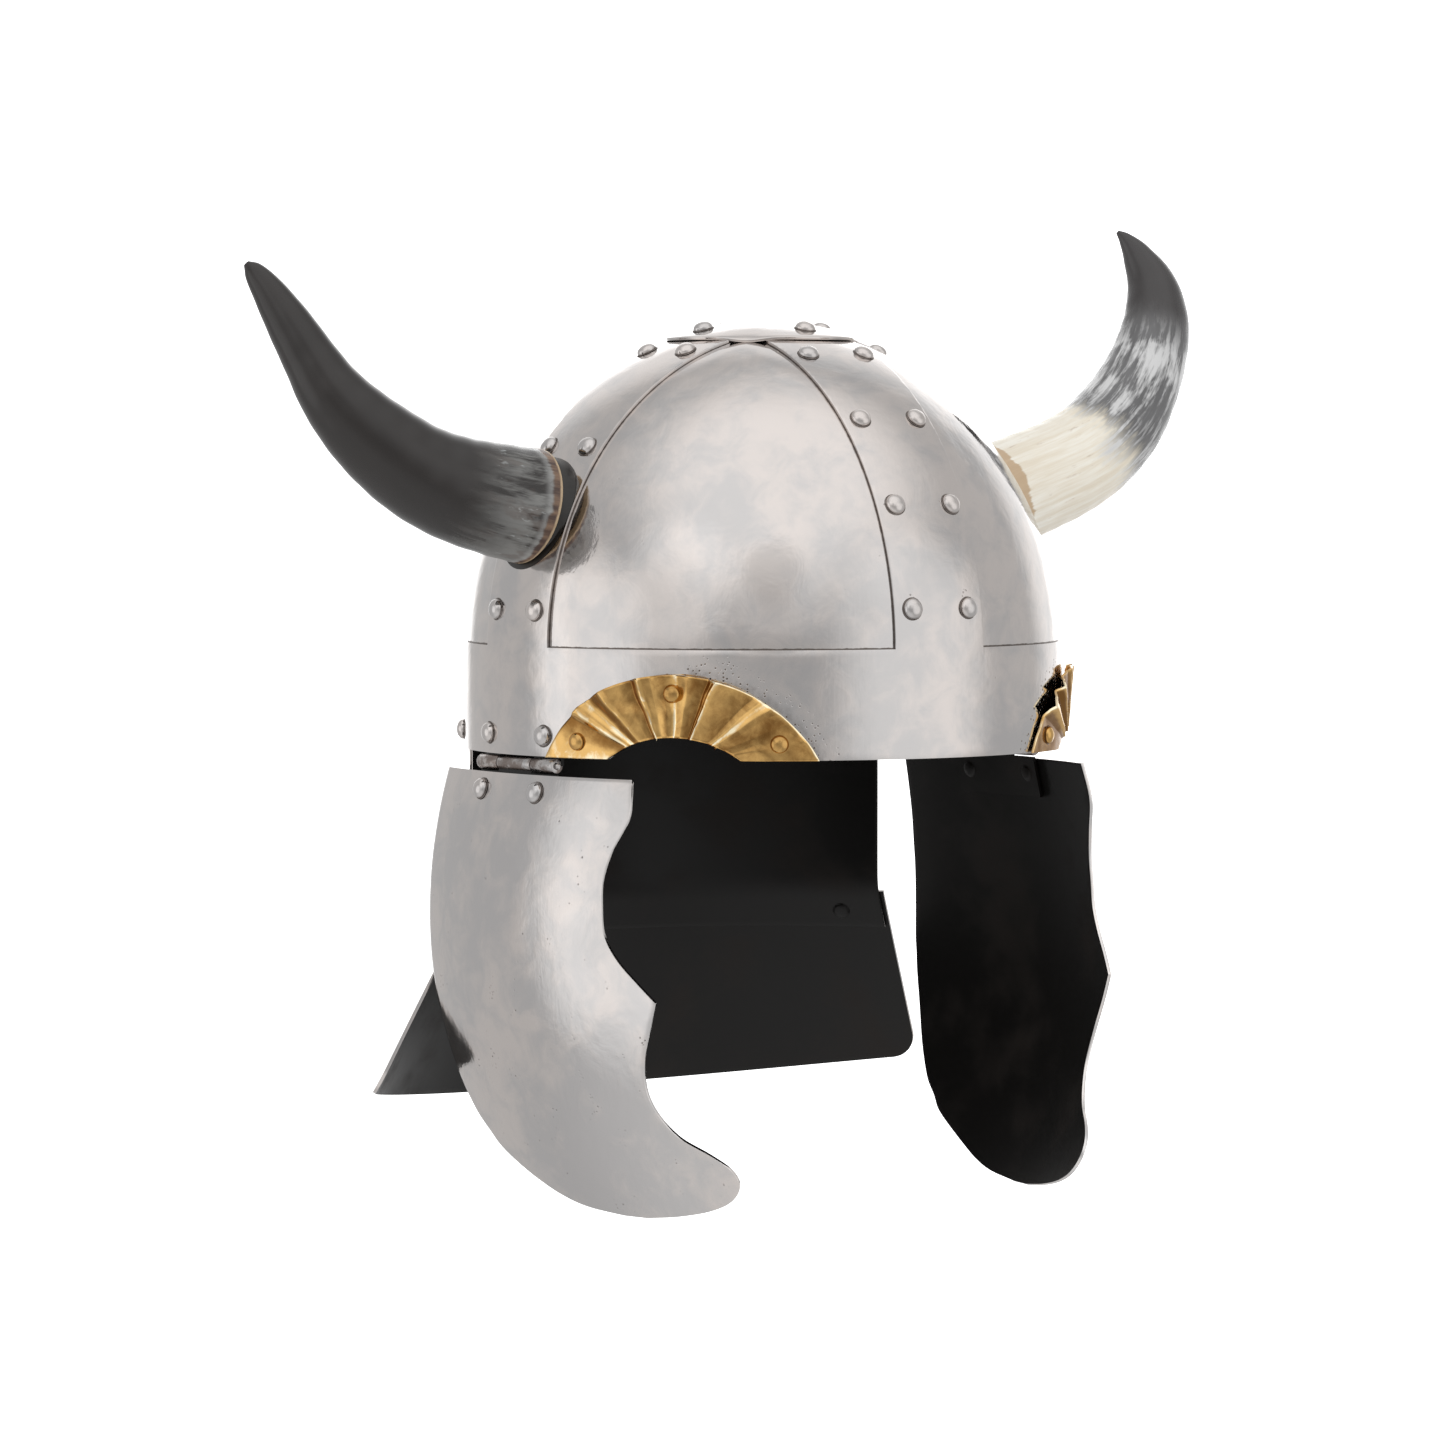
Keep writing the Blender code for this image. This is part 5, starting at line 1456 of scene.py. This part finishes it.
def glow(turn, elevation, narrow, wide):
    """A soft light that is full within one angle of its middle and gone beyond another."""
    facing = graph.wire(
        "ShaderNodeVectorMath", {"operation": "DOT_PRODUCT"},
        {0: toward, 1: studio_direction(turn, elevation)}, 1)
    return facing.rise(math.cos(math.radians(wide)), math.cos(math.radians(narrow)))


brightness = (
    0.60 + glow(10.0, 62.0, 18.0, 62.0) * 0.55 + glow(180.0, 4.0, 14.0, 29.0) * 0.85
    + glow(62.0, 0.0, 10.0, 40.0) * 0.45 + glow(-72.0, 0.0, 8.0, 32.0) * 0.52 + glow(-36.0, 22.0, 8.0, 26.0) * 0.26
    - glow(0.0, -6.0, 8.0, 30.0) * 0.08 + glow(160.0, 5.0, 12.0, 34.0) * 0.50 + glow(180.0, 26.0, 14.0, 38.0) * 0.40
    - glow(4.0, 25.0, 4.0, 15.0) * 0.24 + glow(-40.0, -50.0, 10.0, 60.0) * 0.22
)
for elevation in (-14.0, 0.0, 14.0):
    brightness = brightness + glow(-88.0, elevation, 2.0, 10.0) * 0.15
seen = graph.wire("ShaderNodeLightPath", {}, {}, "Is Camera Ray")
background = world.node_tree.nodes["Background"]
background.inputs["Color"].default_value = (1.0, 1.0, 1.0, 1.0)
graph.feed(background.inputs["Strength"], brightness.larger(seen * 1.05))

floor_builder = bmesh.new()
bmesh.ops.create_circle(floor_builder, cap_ends=True, segments=96, radius=FLOOR_RADIUS)
bmesh.ops.translate(floor_builder, vec=(0.0, 0.0, -FLOOR_DROP), verts=floor_builder.verts)
floor_mesh = bpy.data.meshes.new("floor")
floor_builder.to_mesh(floor_mesh)
floor_builder.free()
floor = bpy.data.objects.new("floor", floor_mesh)
bpy.context.scene.collection.objects.link(floor)
floor_material, floor_graph, floor_surface = new_material("pale floor", Roughness=0.9, Emission_Strength=0.04)
floor_surface.inputs["Base Color"].default_value = (0.84, 0.84, 0.84, 1.0)
floor_surface.inputs["Emission Color"].default_value = (1.0, 1.0, 1.0, 1.0)
floor_mesh.materials.append(floor_material)
floor.visible_glossy = False


def add_softbox(name, turn, elevation, distance, width, height, radiance):
    """A rectangular light that faces the helmet."""
    light = bpy.data.lights.new(name, "AREA")
    light.shape = "RECTANGLE"
    light.size = width
    light.size_y = height
    light.energy = radiance * math.pi * width * height
    item = bpy.data.objects.new(name, light)
    bpy.context.scene.collection.objects.link(item)
    place = studio_direction(turn, elevation)
    item.matrix_world = Matrix.Translation(place * distance) @ place.to_track_quat("Z", "Y").to_matrix().to_4x4()
    item.visible_camera = False
    item.visible_glossy = False
    return item


softboxes = [
    add_softbox("softbox right", 48.0, 12.0, 1.7, 0.35, 0.9, 0.5),
    add_softbox("softbox left", -62.0, 10.0, 1.7, 0.30, 0.9, 0.5),
    add_softbox("softbox overhead", 20.0, 64.0, 1.6, 0.9, 0.5, 0.35),
]
print("Lights:", len(softboxes))

# %% [markdown]
# ## Camera
# The camera stands where the photograph was taken, with the same lens.

# %% Camera
toward_camera = direction(CAMERA_BEARING)
rightwards = Vector((-toward_camera.y, toward_camera.x, 0.0))
yaw = math.radians(CAMERA_YAW)
pitch = math.radians(CAMERA_PITCH)
level = -toward_camera * math.cos(yaw) + rightwards * math.sin(yaw)
forward = level * math.cos(pitch) - Vector((0.0, 0.0, math.sin(pitch)))
camera_data = bpy.data.cameras.new("photo camera")
camera_data.sensor_width = 36.0
camera_data.lens = CAMERA_LENS
camera_data.clip_end = 100.0
camera = bpy.data.objects.new("photo camera", camera_data)
bpy.context.scene.collection.objects.link(camera)
camera_place = toward_camera * CAMERA_DISTANCE + Vector((0.0, 0.0, CAMERA_HEIGHT))
roll = Matrix.Rotation(math.radians(CAMERA_ROLL), 4, "Z")
camera.matrix_world = (
    Matrix.Translation(camera_place) @ forward.to_track_quat("-Z", "Y").to_matrix().to_4x4() @ roll)
bpy.context.scene.camera = camera
bpy.context.scene.view_settings.view_transform = "Standard"
print("Camera at", [round(value, 3) for value in camera_place])

# %% Finish
bpy.context.view_layer.update()
